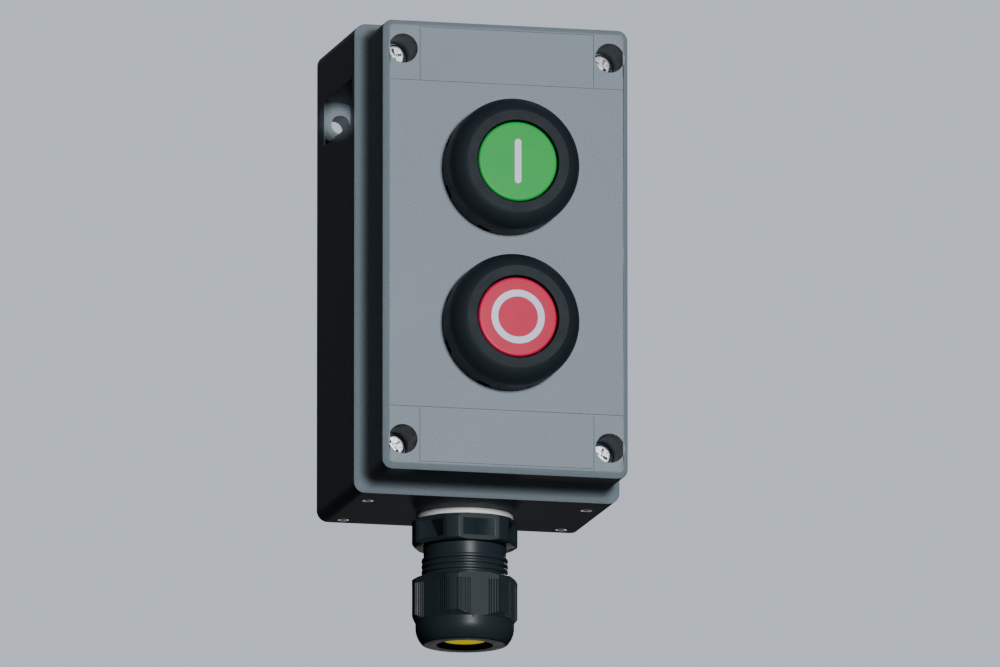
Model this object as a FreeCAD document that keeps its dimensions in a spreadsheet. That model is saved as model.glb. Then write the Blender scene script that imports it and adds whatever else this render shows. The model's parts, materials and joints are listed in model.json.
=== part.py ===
import FreeCAD, Part
import math
import os
import Sketcher

# A two-button control station for a wall: a moulded base, a lift-off front cover with two sprung
# push buttons, the contact blocks behind them, and a cable gland in the bottom wall.
# Row frame: +Z up, +X to the right seen from the front, the front faces -Y.
# The origin is the centre of the back face, which lies on the wall.
# Every piece is drawn with x to the right, y up and z forward from the wall, and then turned upright.

SIZES = [
    # enclosure
    ("box_wide", 80.0),
    ("box_high", 140.0),
    ("base_deep", 45.0),
    ("cover_deep", 27.6),
    ("edge_round", 3.3),
    ("side_wall", 3.0),
    ("floor_thick", 3.0),
    ("rim_thick", 3.3),
    ("flare_inset", 3.1),
    ("flare_rise", 6.5),
    ("shoulder_round", 2.9),
    ("chamfer_wide", 1.65),
    ("chamfer_deep", 1.75),
    ("cover_wall", 2.8),
    ("cover_front", 3.0),
    ("land_wide", 2.5),
    ("block_wide", 15.0),
    ("block_high", 18.3),
    # wall fixing
    ("pocket_deep", 8.0),
    ("pocket_high", 13.5),
    ("pocket_drop", 22.4),
    ("lug_thick", 9.5),
    ("lug_hole", 2.75),
    ("lug_hole_edge", 0.25),
    # cover screws
    ("screw_side_inset", 8.9),
    ("screw_top_inset", 11.8),
    ("well_clear", 0.8),
    ("well_deep", 15.4),
    ("screw_radius", 2.0),
    ("screw_clear", 0.2),
    ("head_ledge", 1.5),
    ("screw_head_high", 2.8),
    ("screw_washer_thick", 0.6),
    ("screw_below_rim", 8.0),
    ("insert_wall", 0.55),
    ("insert_long", 10.0),
    ("insert_hole_room", 2.0),
    ("screw_slot_wide", 0.8),
    # gasket and engraving
    ("gasket_inset", 0.5),
    ("gasket_wide", 1.6),
    ("gasket_deep", 1.6),
    ("groove_wide", 0.5),
    ("groove_deep", 0.3),
    ("groove_gap", 5.95),
    ("label_gap", 0.65),
    ("label_line", 0.25),
    # inserts in the bottom face
    ("stud_radius", 1.9),
    ("stud_long", 8.0),
    ("stud_inset", 7.0),
    ("stud_spread", 15.5),
    # button stations
    ("station_pitch", 46.3),
    ("panel_clear", 0.15),
    ("cap_clear", 0.35),
    ("lip_wide", 3.05),
    ("shoulder_wide", 4.3),
    ("ring_high", 14.6),
    ("skirt_high", 9.0),
    ("notch_high", 3.0),
    ("notch_deep", 0.55),
    ("notch_wide", 3.7),
    ("cap_radius", 11.8),
    ("cap_thick", 4.4),
    ("cap_skirt", 7.0),
    ("cap_wall", 1.1),
    ("cap_recess", 0.65),
    ("cap_round", 0.7),
    ("travel", 4.0),
    ("sleeve_radius", 11.0),
    ("sleeve_back", 12.0),
    ("sleeve_wall", 2.5),
    ("sleeve_floor", 2.5),
    ("flange_seat", 2.35),
    ("flange_thick", 1.4),
    ("seal_thick", 1.0),
    ("diaphragm_thick", 0.8),
    ("diaphragm_lip", 1.6),
    ("stem_radius", 4.0),
    ("spigot_step", 1.5),
    ("spigot_high", 2.0),
    ("clip_wide", 2.0),
    ("clip_thick", 1.0),
    ("lock_washer_thick", 1.0),
    ("lock_nut_wall", 3.0),
    ("lock_nut_thick", 5.0),
    ("symbol_thick", 0.5),
    ("symbol_proud", 0.15),
    ("bar_wide", 2.07),
    ("bar_high", 13.3),
    ("letter_outer", 8.03),
    ("letter_line", 2.08),
    ("return_wire", 0.45),
    ("return_pitch", 3.0),
    # contact blocks
    ("rail_channel", 5.25),
    ("rail_lip", 2.25),
    ("rail_high", 5.5),
    ("rail_sheet", 1.0),
    ("rail_past_block", 5.85),
    ("rail_screw_radius", 1.5),
    ("rail_screw_head", 2.8),
    ("rail_head_high", 1.8),
    ("rail_screw_inset", 2.0),
    ("rail_screw_skin", 1.0),
    ("claw_clear", 0.1),
    ("claw_wide", 2.9),
    ("block_half_high", 17.0),
    ("block_deep", 27.5),
    ("chamber_wall", 3.0),
    ("terminal_zone", 6.0),
    ("chamber_floor", 3.0),
    ("lid_thick", 2.0),
    ("claw_deep", 2.5),
    ("claw_grip", 1.0),
    ("plunger_radius", 3.4),
    ("plunger_step", 1.4),
    ("plunger_proud", 7.0),
    ("plunger_tail", 2.5),
    ("bridge_half_wide", 3.2),
    ("bridge_end_gap", 1.6),
    ("bridge_thick", 0.8),
    ("bridge_make_up", 18.5),
    ("bridge_break_up", 13.5),
    ("contact_gap", 0.2),
    ("strip_half_wide", 2.2),
    ("strip_thick", 1.0),
    ("strip_clear", 2.0),
    ("strip_end_gap", 1.0),
    ("terminal_radius", 1.9),
    ("terminal_high", 4.0),
    ("terminal_end_gap", 3.4),
    ("terminal_slot_wide", 0.6),
    ("terminal_slot_deep", 1.0),
    ("coil_clear", 0.8),
    ("contact_wire", 0.3),
    ("contact_pitch", 1.9),
    # earth terminal
    ("earth_half_wide", 9.0),
    ("earth_half_high", 4.0),
    ("earth_thick", 8.0),
    ("earth_gap_below", 5.2),
    ("earth_gap_above", 7.0),
    ("earth_skin", 2.0),
    ("earth_screw_side", 4.8),
    ("earth_screw_radius", 2.0),
    ("earth_screw_low", 3.0),
    ("earth_screw_head", 3.0),
    ("earth_head_high", 2.0),
    ("earth_slot_wide", 0.8),
    ("earth_slot_deep", 1.0),
    # cable gland
    ("gland_floor_gap", 1.5),
    ("corner_cut", 2.5),
    ("gland_turn", 3.5),
    ("entry_radius", 12.5),
    ("entry_clear", 0.15),
    ("entry_long", 9.0),
    ("washer_wide", 1.75),
    ("washer_thick", 1.9),
    ("body_hex_high", 7.8),
    ("neck_step", 0.3),
    ("neck_high", 3.5),
    ("thread_step", 0.2),
    ("thread_seen", 6.2),
    ("thread_hidden", 9.0),
    ("finger_high", 5.0),
    ("finger_wall", 1.1),
    ("finger_slot", 1.2),
    ("finger_slot_over", 1.0),
    ("tube_wall", 3.6),
    ("nut_wall", 1.8),
    ("nut_hex_high", 12.9),
    ("nut_dome_high", 6.5),
    ("nut_dome_round", 5.0),
    ("nut_dome_inset", 2.2),
    ("nut_mouth_flare", 1.66),
    ("nut_mouth_deep", 1.4),
    ("nut_lip_inset", 2.3),
    ("nut_lip_thick", 0.8),
    ("nut_lock_wall", 3.5),
    ("nut_lock_thick", 5.0),
    ("bush_wall", 2.1),
    ("plug_inset", 0.7),
    ("plug_thick", 1.5),
    # how far a cut runs past its piece, and how far a collar reaches into the tube it joins
    ("cut_over", 1.0),
    ("collar_overlap", 0.5),
    # clearances
    ("running_fit", 0.05),
    ("moving_gap", 0.3),
]

NOTCHES = 8
FINGERS = 8
FLARE_STEPS = 4
# corner diameter over distance across flats; a sharp hexagon would be 1.155
LOCK_NUT_CORNERS = 1.12
GLAND_LOCK_CORNERS = 1.1
# a half circle is drawn with a radius a hair over half its chord, so that its centre has one side
HALF_CIRCLE = 1.0001

document = FreeCAD.newDocument("ControlStation")
sheet = document.addObject("Spreadsheet::Sheet", "Sizes")
for row, (alias, number) in enumerate(SIZES, start=1):
    sheet.set("A%d" % row, alias.replace("_", " "))
    sheet.set("B%d" % row, str(number))
    sheet.setAlias("B%d" % row, alias)
document.recompute()


class Length:
    """A size that carries its number and the sheet expression that gives it."""

    def __init__(self, text, value):
        self.text = text
        self.value = value

    def joined(self, sign, other, value):
        return Length("(%s %s %s)" % (self.text, sign, as_length(other).text), value)

    def __add__(self, other):
        return self.joined("+", other, self.value + as_length(other).value)

    def __sub__(self, other):
        return self.joined("-", other, self.value - as_length(other).value)

    def __mul__(self, other):
        return self.joined("*", other, self.value * as_length(other).value)

    def __truediv__(self, other):
        return self.joined("/", other, self.value / as_length(other).value)

    def __neg__(self):
        return Length("(-1 * %s)" % self.text, -self.value)

    def root(self):
        return Length("sqrt(%s)" % self.text, math.sqrt(self.value))


def as_length(item):
    """Turns a plain number into a Length."""
    if isinstance(item, Length):
        return item
    return Length(repr(float(item)), float(item))


def size(alias):
    """Reads one cell of the sheet."""
    return Length("Sizes." + alias, float(sheet.get(alias)))


ZERO = as_length(0)
UPRIGHT = FreeCAD.Rotation(FreeCAD.Vector(1, 0, 0), 90)
LEVEL = FreeCAD.Rotation(FreeCAD.Vector(0, 0, 1), 0)


def bind(thing, name, length):
    """Ties a property to the sheet."""
    thing.setExpression(name, as_length(length).text)


def new_body(label, across=ZERO, forward=ZERO, up=ZERO, turn=UPRIGHT):
    """Starts a piece whose own origin sits at the given place in the row frame."""
    body = document.addObject("PartDesign::Body", label)
    body.Label = label
    body.AllowCompound = True
    body.Placement = FreeCAD.Placement(FreeCAD.Vector(0, 0, 0), turn)
    bind(body, "Placement.Base.x", across)
    bind(body, "Placement.Base.y", -as_length(forward))
    bind(body, "Placement.Base.z", up)
    return body


def new_sketch(body, name, role, height=ZERO):
    """Starts a sketch on one of the body's own origin planes, raised by height."""
    sketch = body.newObject("Sketcher::SketchObject", name)
    planes = [item for item in body.Origin.OriginFeatures if item.Role == role]
    sketch.AttachmentSupport = [(planes[0], "")]
    sketch.MapMode = "FlatFace"
    bind(sketch, "AttachmentOffset.Base.z", height)
    return sketch


def fix_point(sketch, edge, end, x, y):
    """Dimensions one point from the sketch's origin."""
    if x.value == 0:
        sketch.addConstraint(Sketcher.Constraint("PointOnObject", edge, end, -2))
    else:
        number = sketch.addConstraint(Sketcher.Constraint("DistanceX", -1, 1, edge, end, x.value))
        bind(sketch, "Constraints[%d]" % number, x)
    if y.value == 0:
        sketch.addConstraint(Sketcher.Constraint("PointOnObject", edge, end, -1))
    else:
        number = sketch.addConstraint(Sketcher.Constraint("DistanceY", -1, 1, edge, end, y.value))
        bind(sketch, "Constraints[%d]" % number, y)


def fix_radius(sketch, edge, radius):
    """Dimensions the radius of an arc or circle."""
    number = sketch.addConstraint(Sketcher.Constraint("Radius", edge, radius.value))
    bind(sketch, "Constraints[%d]" % number, radius)


def arc_between(start, end, radius, side):
    """The short arc from start to end, with its centre on the left for side 1 and on the right for -1."""
    along = end - start
    half = along.Length / 2
    normal = FreeCAD.Vector(-along.y, along.x, 0).normalize()
    reach = math.sqrt(max(radius * radius - half * half, 0))
    centre = start + along * 0.5 + normal * (side * reach)
    first, last = (start, end) if side > 0 else (end, start)
    angles = [math.atan2(point.y - centre.y, point.x - centre.x) for point in (first, last)]
    circle = Part.Circle(centre, FreeCAD.Vector(0, 0, 1), radius)
    return Part.ArcOfCircle(circle, angles[0], angles[1])


def loop(sketch, corners):
    """Draws a closed loop. A corner is (x, y), or (x, y, radius, side) where an arc leaves it."""
    corners = [[as_length(item) for item in corner[:2]] + list(corner[2:]) for corner in corners]
    points = [FreeCAD.Vector(corner[0].value, corner[1].value, 0) for corner in corners]
    edges = []
    for index, corner in enumerate(corners):
        start = points[index]
        end = points[(index + 1) % len(points)]
        if len(corner) == 2:
            edges.append((sketch.addGeometry(Part.LineSegment(start, end)), 1, 2))
        else:
            arc = arc_between(start, end, as_length(corner[2]).value, corner[3])
            ends = (1, 2) if corner[3] > 0 else (2, 1)
            edges.append((sketch.addGeometry(arc), ends[0], ends[1]))
    for index, (edge, _, tail) in enumerate(edges):
        follower, head, _ = edges[(index + 1) % len(edges)]
        sketch.addConstraint(Sketcher.Constraint("Coincident", edge, tail, follower, head))
    for corner, (edge, head, _) in zip(corners, edges):
        fix_point(sketch, edge, head, corner[0], corner[1])
        if len(corner) > 2:
            fix_radius(sketch, edge, as_length(corner[2]))


def disc(sketch, x, y, radius):
    """Draws a circle."""
    x, y, radius = as_length(x), as_length(y), as_length(radius)
    centre = FreeCAD.Vector(x.value, y.value, 0)
    edge = sketch.addGeometry(Part.Circle(centre, FreeCAD.Vector(0, 0, 1), radius.value))
    fix_point(sketch, edge, 3, x, y)
    fix_radius(sketch, edge, radius)


def draw(sketch, shapes):
    """Draws discs, given as (x, y, radius) tuples, and loops, given as lists of corners."""
    for shape in shapes:
        if isinstance(shape, tuple):
            disc(sketch, *shape)
        else:
            loop(sketch, shape)


def rectangle(left, bottom, right, top):
    return [(left, bottom), (right, bottom), (right, top), (left, top)]


def rounded(wide, high, radius):
    """A rectangle about the origin with round corners."""
    x, y = wide / 2, high / 2
    return [
        (x - radius, -y, radius, 1),
        (x, radius - y),
        (x, y - radius, radius, 1),
        (x - radius, y),
        (radius - x, y, radius, 1),
        (-x, y - radius),
        (-x, radius - y, radius, 1),
        (radius - x, -y),
    ]


def turned_point(x, y, degrees):
    """A point turned about the origin."""
    cosine, sine = math.cos(math.radians(degrees)), math.sin(math.radians(degrees))
    return (as_length(x) * cosine - as_length(y) * sine, as_length(x) * sine + as_length(y) * cosine)


def hexagon(flats, corners, turn):
    """A hexagon across flats whose corners are cut round to a diameter, with one flat facing -Y."""
    reach = corners / 2
    apothem = flats / 2
    half = (reach * reach - apothem * apothem).root()
    points = []
    for side in range(6):
        degrees = 60 * side - 90 + turn
        points.append(turned_point(apothem, -half, degrees))
        points.append(turned_point(apothem, half, degrees) + (reach, 1))
    return points


def pad(body, name, shapes, start, length):
    """Adds a straight prism from height start, going forward."""
    sketch = new_sketch(body, name + "_sketch", "XY_Plane", start)
    draw(sketch, shapes)
    feature = body.newObject("PartDesign::Pad", name)
    feature.Profile = sketch
    bind(feature, "Length", length)
    return feature


def pocket(body, name, shapes, top, depth):
    """Cuts a straight prism from height top, going back by depth, and checks that it removed something."""
    document.recompute()
    before = body.Shape.Volume
    sketch = new_sketch(body, name + "_sketch", "XY_Plane", top)
    draw(sketch, shapes)
    feature = body.newObject("PartDesign::Pocket", name)
    feature.Profile = sketch
    bind(feature, "Length", depth)
    document.recompute()
    if body.Shape.Volume >= before:
        raise RuntimeError("%s cuts nothing from %s" % (name, body.Label))
    return feature


def loft(body, name, sections):
    """Joins (outline, height) sections into one smooth solid."""
    sketches = []
    for number, (corners, height) in enumerate(sections):
        sketch = new_sketch(body, "%s_section_%d" % (name, number), "XY_Plane", height)
        loop(sketch, corners)
        sketches.append(sketch)
    document.recompute()
    feature = body.newObject("PartDesign::AdditiveLoft", name)
    feature.Profile = sketches[0]
    feature.Sections = sketches[1:]
    feature.Ruled = len(sections) == 2
    return feature


def turned(body, name, profile):
    """Spins a (radius, height) profile a full turn about the body's own z axis."""
    sketch = new_sketch(body, name + "_sketch", "XZ_Plane")
    loop(sketch, profile)
    feature = body.newObject("PartDesign::Revolution", name)
    feature.Profile = sketch
    feature.ReferenceAxis = (sketch, ["V_Axis"])
    feature.Angle = 360.0
    return feature


def tube(body, name, inner, outer, low, high):
    """A plain ring between two radii and two heights."""
    return turned(body, name, rectangle(inner, low, outer, high))


def coil(label, radius, wire, pitch, low, high, forward, up):
    """A helical spring of round wire between two heights, as separate free turns."""
    body = new_body(label, ZERO, forward, up)
    sketch = new_sketch(body, label + "_sketch", "XZ_Plane")
    disc(sketch, radius, low + wire, wire)
    document.recompute()
    feature = body.newObject("PartDesign::AdditiveHelix", label + "_helix")
    feature.Profile = sketch
    feature.ReferenceAxis = (sketch, ["V_Axis"])
    feature.Mode = 0
    bind(feature, "Pitch", pitch)
    bind(feature, "Height", high - low - wire * 2)
    return body


# ---- sizes that follow from the ones above, because something fits in, round or beside them ----
screw_hole = size("screw_radius") + size("screw_clear")
screw_head = size("screw_radius") + size("head_ledge")
well_radius = screw_head + size("well_clear")
insert_bore = size("screw_radius") + size("running_fit")
insert_radius = insert_bore + size("insert_wall")
panel_hole = size("sleeve_radius") + size("panel_clear")
ring_bore = size("cap_radius") + size("cap_clear")
ring_flat = ring_bore + size("lip_wide")
ring_radius = ring_flat + size("shoulder_wide")
flange_radius = ring_bore + size("flange_seat")
sleeve_bore = size("sleeve_radius") - size("sleeve_wall")
lock_nut_reach = size("sleeve_radius") + size("lock_nut_wall")
spigot_radius = size("stem_radius") - size("spigot_step")
return_coil = (size("stem_radius") + sleeve_bore) / 2
rail_half_wide = size("rail_channel") + size("rail_lip")
claw_inner = rail_half_wide + size("claw_clear")
block_half_wide = claw_inner + size("claw_wide")
chamber_half_wide = block_half_wide - size("chamber_wall")
chamber_half_high = size("block_half_high") - size("terminal_zone")
plunger_neck = size("plunger_radius") - size("plunger_step")
contact_coil = plunger_neck + size("coil_clear") + size("contact_wire")
thread_radius = size("entry_radius") + size("thread_step")
neck_radius = size("entry_radius") - size("neck_step")
gland_bore = size("entry_radius") - size("tube_wall")
gland_flats = (thread_radius + size("nut_wall")) * 2
gland_corners = gland_flats + size("corner_cut")
finger_radius = gland_bore + size("finger_wall")
lip_radius = gland_bore - size("nut_lip_inset")
lock_flats = (size("entry_radius") + size("nut_lock_wall")) * 2
gland_forward = size("floor_thick") + size("gland_floor_gap") + lock_flats / 2
entry_hole = size("entry_radius") + size("entry_clear")
rail_top = size("floor_thick") + size("rail_high")
block_top = rail_top + size("block_deep")
plunger_top = block_top + size("plunger_proud")

# ---- places that several pieces share ----
half_wide = size("box_wide") / 2
half_high = size("box_high") / 2
front = size("base_deep") + size("cover_deep")
screw_x = half_wide - size("screw_side_inset")
screw_y = half_high - size("screw_top_inset")
pocket_y = half_high - size("pocket_drop")
lug_x = half_wide - size("pocket_deep") + size("lug_hole") + size("lug_hole_edge")
corner_x = half_wide - size("block_wide")
plain_y = half_high - size("block_high")
lug_y = pocket_y - size("pocket_high") / 2 - size("land_wide")
station_y = size("station_pitch") / 2
groove_y = station_y + ring_radius + size("groove_gap")
label_x = screw_x - well_radius - size("label_gap")
stud_x = half_wide - size("stud_inset")
rail_half_long = station_y + size("block_half_high") + size("rail_past_block")
rail_screw_y = rail_half_long - size("rail_screw_inset")
# the earth terminal splits the free height above the rail's end screw in the ratio of its two gaps
earth_room_low = rail_screw_y + size("rail_screw_head")
earth_room = half_high - size("side_wall") - earth_room_low - size("earth_half_high") * 2
earth_gaps = size("earth_gap_below") + size("earth_gap_above")
earth_y = earth_room_low + earth_room * size("earth_gap_below") / earth_gaps + size("earth_half_high")
SCREW_CORNERS = [(screw_x, screw_y), (-screw_x, screw_y), (-screw_x, -screw_y), (screw_x, -screw_y)]
RAIL_SCREW_PLACES = [(ZERO, rail_screw_y), (ZERO, -rail_screw_y)]
STUD_PLACES = [
    (side * stud_x, size("stud_spread") * way)
    for side in (as_length(-1), as_length(1))
    for way in (-1, 1)
]


def discs_at(places, radius):
    return [(x, y, radius) for x, y in places]


def slots_at(places, head, wide):
    """Driver slots across round screw heads."""
    reach, half = head + size("cut_over"), wide / 2
    return [rectangle(x - reach, y - half, x + reach, y + half) for x, y in places]


def cavity(side, grow=ZERO):
    """The hollow's outline: a rectangle stepped in at the corners, deeper at the two wall-fixing pockets."""
    x, y = half_wide - side + grow, half_high - side + grow
    step = corner_x + grow
    plain = plain_y + grow
    lug = lug_y + grow
    return [
        (x, plain), (step, plain), (step, y), (-step, y), (-step, lug), (-x, lug),
        (-x, -plain), (-step, -plain), (-step, -y), (step, -y), (step, -lug), (x, -lug),
    ]


# ---- enclosure ----
def base_housing():
    body = new_body("base_housing")
    deep = size("base_deep")
    outline = rounded(size("box_wide"), size("box_high"), size("edge_round"))
    pad(body, "base_block", [outline], ZERO, deep)
    pocket(body, "base_hollow", [cavity(size("side_wall"))], deep, deep - size("floor_thick"))
    inner = half_wide - size("pocket_deep")
    low, high = pocket_y - size("pocket_high") / 2, pocket_y + size("pocket_high") / 2
    beyond = half_wide + size("cut_over")
    pockets = [rectangle(-beyond, low, -inner, high), rectangle(inner, -high, beyond, -low)]
    pocket(body, "lug_pockets", pockets, deep, deep - size("lug_thick"))
    lug_holes = [(-lug_x, pocket_y, size("lug_hole")), (lug_x, -pocket_y, size("lug_hole"))]
    pocket(body, "lug_holes", lug_holes, size("lug_thick"), size("lug_thick"))
    insert_holes = discs_at(SCREW_CORNERS, insert_radius)
    pocket(body, "insert_holes", insert_holes, deep, size("insert_long") + size("insert_hole_room"))
    rail_holes = discs_at(RAIL_SCREW_PLACES, size("rail_screw_radius"))
    rail_hole_deep = size("floor_thick") - size("rail_screw_skin")
    pocket(body, "rail_screw_holes", rail_holes, size("floor_thick"), rail_hole_deep)
    cut_downward(body, "gland_hole", [(ZERO, ZERO)], entry_hole, size("side_wall") + size("cut_over"))
    cut_downward(body, "stud_holes", STUD_PLACES, size("stud_radius"), size("stud_long"))


def cut_downward(body, name, places, radius, depth):
    """Drills holes up into the bottom face, at places measured from the gland's axis."""
    document.recompute()
    before = body.Shape.Volume
    sketch = new_sketch(body, name + "_sketch", "XZ_Plane", half_high)
    for x, forward in places:
        disc(sketch, x, gland_forward + forward, radius)
    feature = body.newObject("PartDesign::Pocket", name)
    feature.Profile = sketch
    bind(feature, "Length", depth)
    document.recompute()
    if body.Shape.Volume >= before:
        raise RuntimeError("%s cuts nothing from %s" % (name, body.Label))


def flare_sections(low):
    """Sections of the concave flare, an arc that runs tangent into the upright wall."""
    inset, rise = size("flare_inset"), size("flare_rise")
    radius = (inset * inset + rise * rise) / (inset * 2)
    sections = []
    for step in range(FLARE_STEPS + 1):
        part = step / FLARE_STEPS
        left = rise * (1 - part)
        moved = inset - radius + (radius * radius - left * left).root()
        corner = size("edge_round") + (size("shoulder_round") - size("edge_round")) * moved / inset
        outline = rounded(size("box_wide") - moved * 2, size("box_high") - moved * 2, corner)
        sections.append((outline, low + rise * part))
    return sections


def front_cover():
    body = new_body("front_cover")
    deep = size("base_deep")
    wide = size("box_wide") - size("flare_inset") * 2
    high = size("box_high") - size("flare_inset") * 2
    outline = rounded(size("box_wide"), size("box_high"), size("edge_round"))
    pad(body, "cover_rim", [outline], deep, size("rim_thick"))
    flare_low = deep + size("rim_thick")
    loft(body, "cover_flare", flare_sections(flare_low))
    wall_low = flare_low + size("flare_rise")
    wall_high = front - size("chamfer_deep")
    wall = rounded(wide, high, size("shoulder_round"))
    pad(body, "cover_wall_block", [wall], wall_low, wall_high - wall_low)
    bevel = size("chamfer_wide")
    face = rounded(wide - bevel * 2, high - bevel * 2, size("shoulder_round") - bevel)
    loft(body, "cover_chamfer", [(wall, wall_high), (face, front)])
    inside = size("cover_deep") - size("cover_front")
    hollow = cavity(size("flare_inset") + size("cover_wall"))
    pocket(body, "cover_hollow", [hollow], front - size("cover_front"), inside)
    gasket_groove = gasket_outline()
    pocket(body, "gasket_groove", gasket_groove, deep + size("gasket_deep"), size("gasket_deep"))
    wells = discs_at(SCREW_CORNERS, well_radius)
    pocket(body, "screw_wells", wells, front, size("well_deep"))
    holes = discs_at(SCREW_CORNERS, screw_hole)
    pocket(body, "screw_holes", holes, front, size("cover_deep"))
    panel_holes = [(ZERO, station_y, panel_hole), (ZERO, -station_y, panel_hole)]
    pocket(body, "panel_holes", panel_holes, front, size("cover_front"))
    pocket(body, "engraved_lines", engraving(), front, size("groove_deep"))


def engraving():
    """Two grooves across the face and the outline of a label field beyond each of them."""
    reach = half_wide
    across = size("groove_wide") / 2
    line = size("label_line")
    low, high = groove_y + across, half_high - size("flare_inset") - size("chamfer_wide")
    shapes = []
    for way in (1, -1):
        middle = groove_y * way
        shapes.append(rectangle(-reach, middle - across, reach, middle + across))
        for edge in (1, -1):
            left, right = label_x * edge - line / 2, label_x * edge + line / 2
            bottom, top = (low, high) if way > 0 else (-high, -low)
            shapes.append(rectangle(left, bottom, right, top))
    return shapes


def gasket_outline():
    """The gasket's two loops, which follow the hollow of the base at a constant distance."""
    near = size("gasket_inset")
    return [
        cavity(size("side_wall"), near),
        cavity(size("side_wall"), near + size("gasket_wide")),
    ]


def cover_gasket():
    body = new_body("cover_gasket")
    pad(body, "gasket_ring", gasket_outline(), size("base_deep"), size("gasket_deep"))
    return body


def fasteners():
    """The cover screws, their washers and threaded inserts, and the inserts in the bottom face."""
    seat = front - size("well_deep")
    head_low = seat + size("screw_washer_thick")
    head = screw_head
    screws = new_body("cover_screws")
    shank_low = size("base_deep") - size("screw_below_rim")
    pad(screws, "shanks", discs_at(SCREW_CORNERS, size("screw_radius")), shank_low, head_low - shank_low)
    pad(screws, "heads", discs_at(SCREW_CORNERS, head), head_low, size("screw_head_high"))
    slots = slots_at(SCREW_CORNERS, head, size("screw_slot_wide"))
    pocket(screws, "slots", slots, head_low + size("screw_head_high"), size("screw_head_high") / 2)

    washers = new_body("captive_washers")
    rings = discs_at(SCREW_CORNERS, head + size("moving_gap")) + discs_at(SCREW_CORNERS, size("screw_radius"))
    pad(washers, "washer_rings", rings, seat, size("screw_washer_thick"))

    inserts = new_body("screw_inserts")
    bores = discs_at(SCREW_CORNERS, insert_bore)
    walls = discs_at(SCREW_CORNERS, insert_radius)
    low = size("base_deep") - size("insert_long")
    pad(inserts, "insert_tubes", walls + bores, low, size("insert_long"))

    studs = new_body("bottom_inserts", ZERO, gland_forward, -half_high, LEVEL)
    places = [(x, -forward) for x, forward in STUD_PLACES]
    pad(studs, "stud_rods", discs_at(places, size("stud_radius")), ZERO, size("stud_long"))


# ---- a button station ----
def bezel_ring(prefix, up):
    body = new_body(prefix + "_bezel_ring", ZERO, front, up)
    outer, flat, bore = ring_radius, ring_flat, ring_bore
    across, rise = size("shoulder_wide"), size("ring_high") - size("skirt_high")
    shoulder = (across * across + rise * rise) / (across * 2)
    step = flange_radius
    seat = size("seal_thick") + size("flange_thick") + size("diaphragm_thick")
    profile = [
        (step, ZERO), (outer, ZERO), (outer, size("skirt_high"), shoulder, 1),
        (flat, size("ring_high")), (bore, size("ring_high")), (bore, seat), (step, seat),
    ]
    turned(body, prefix + "_ring_turned", profile)
    notches = []
    half = size("notch_wide") / 2
    for number in range(NOTCHES):
        degrees = (number + 0.5) * 360 / NOTCHES
        low, high = outer - size("notch_deep"), outer + size("cut_over")
        corners = [(low, -half), (high, -half), (high, half), (low, half)]
        notches.append([turned_point(x, y, degrees) for x, y in corners])
    pocket(body, prefix + "_ring_notches", notches, size("notch_high"), size("notch_high"))


def guide_sleeve(prefix, up):
    """The sleeve that carries the button through the cover, with its seals, washer and lock nut."""
    seal, flange = size("seal_thick"), size("flange_thick")
    radius, bore = size("sleeve_radius"), sleeve_bore
    back = -size("sleeve_back")
    hub = size("stem_radius") + size("running_fit")
    sleeve = new_body(prefix + "_guide_sleeve", ZERO, front, up)
    profile = [
        (hub, back), (radius, back), (radius, seal), (flange_radius, seal),
        (flange_radius, seal + flange), (bore, seal + flange),
        (bore, back + size("sleeve_floor")), (hub, back + size("sleeve_floor")),
    ]
    turned(sleeve, prefix + "_sleeve_turned", profile)

    ring = new_body(prefix + "_panel_seal", ZERO, front, up)
    tube(ring, prefix + "_seal_ring", radius, flange_radius, ZERO, seal)

    rubber = new_body(prefix + "_diaphragm", ZERO, front, up)
    low = seal + flange
    thick = size("diaphragm_thick")
    rim = size("cap_radius") - size("cap_wall") - size("moving_gap")
    lip = rim - thick - size("diaphragm_lip")
    lift = size("ring_high") - size("cap_recess") - size("cap_thick")
    profile = [
        (rim - thick, low), (flange_radius, low), (flange_radius, low + thick),
        (rim, low + thick), (rim, lift), (lip, lift), (lip, lift - thick),
        (rim - thick, lift - thick),
    ]
    turned(rubber, prefix + "_diaphragm_turned", profile)

    behind = -size("cover_front")
    washer = new_body(prefix + "_lock_washer", ZERO, front, up)
    washer_back = behind - size("lock_washer_thick")
    tube(washer, prefix + "_washer_ring", radius, lock_nut_reach, washer_back, behind)

    nut = new_body(prefix + "_lock_nut", ZERO, front, up)
    shapes = [hexagon(lock_nut_reach * 2, lock_nut_reach * 2 * LOCK_NUT_CORNERS, 0), (ZERO, ZERO, radius)]
    pad(nut, prefix + "_nut_hex", shapes, washer_back - size("lock_nut_thick"), size("lock_nut_thick"))


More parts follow.
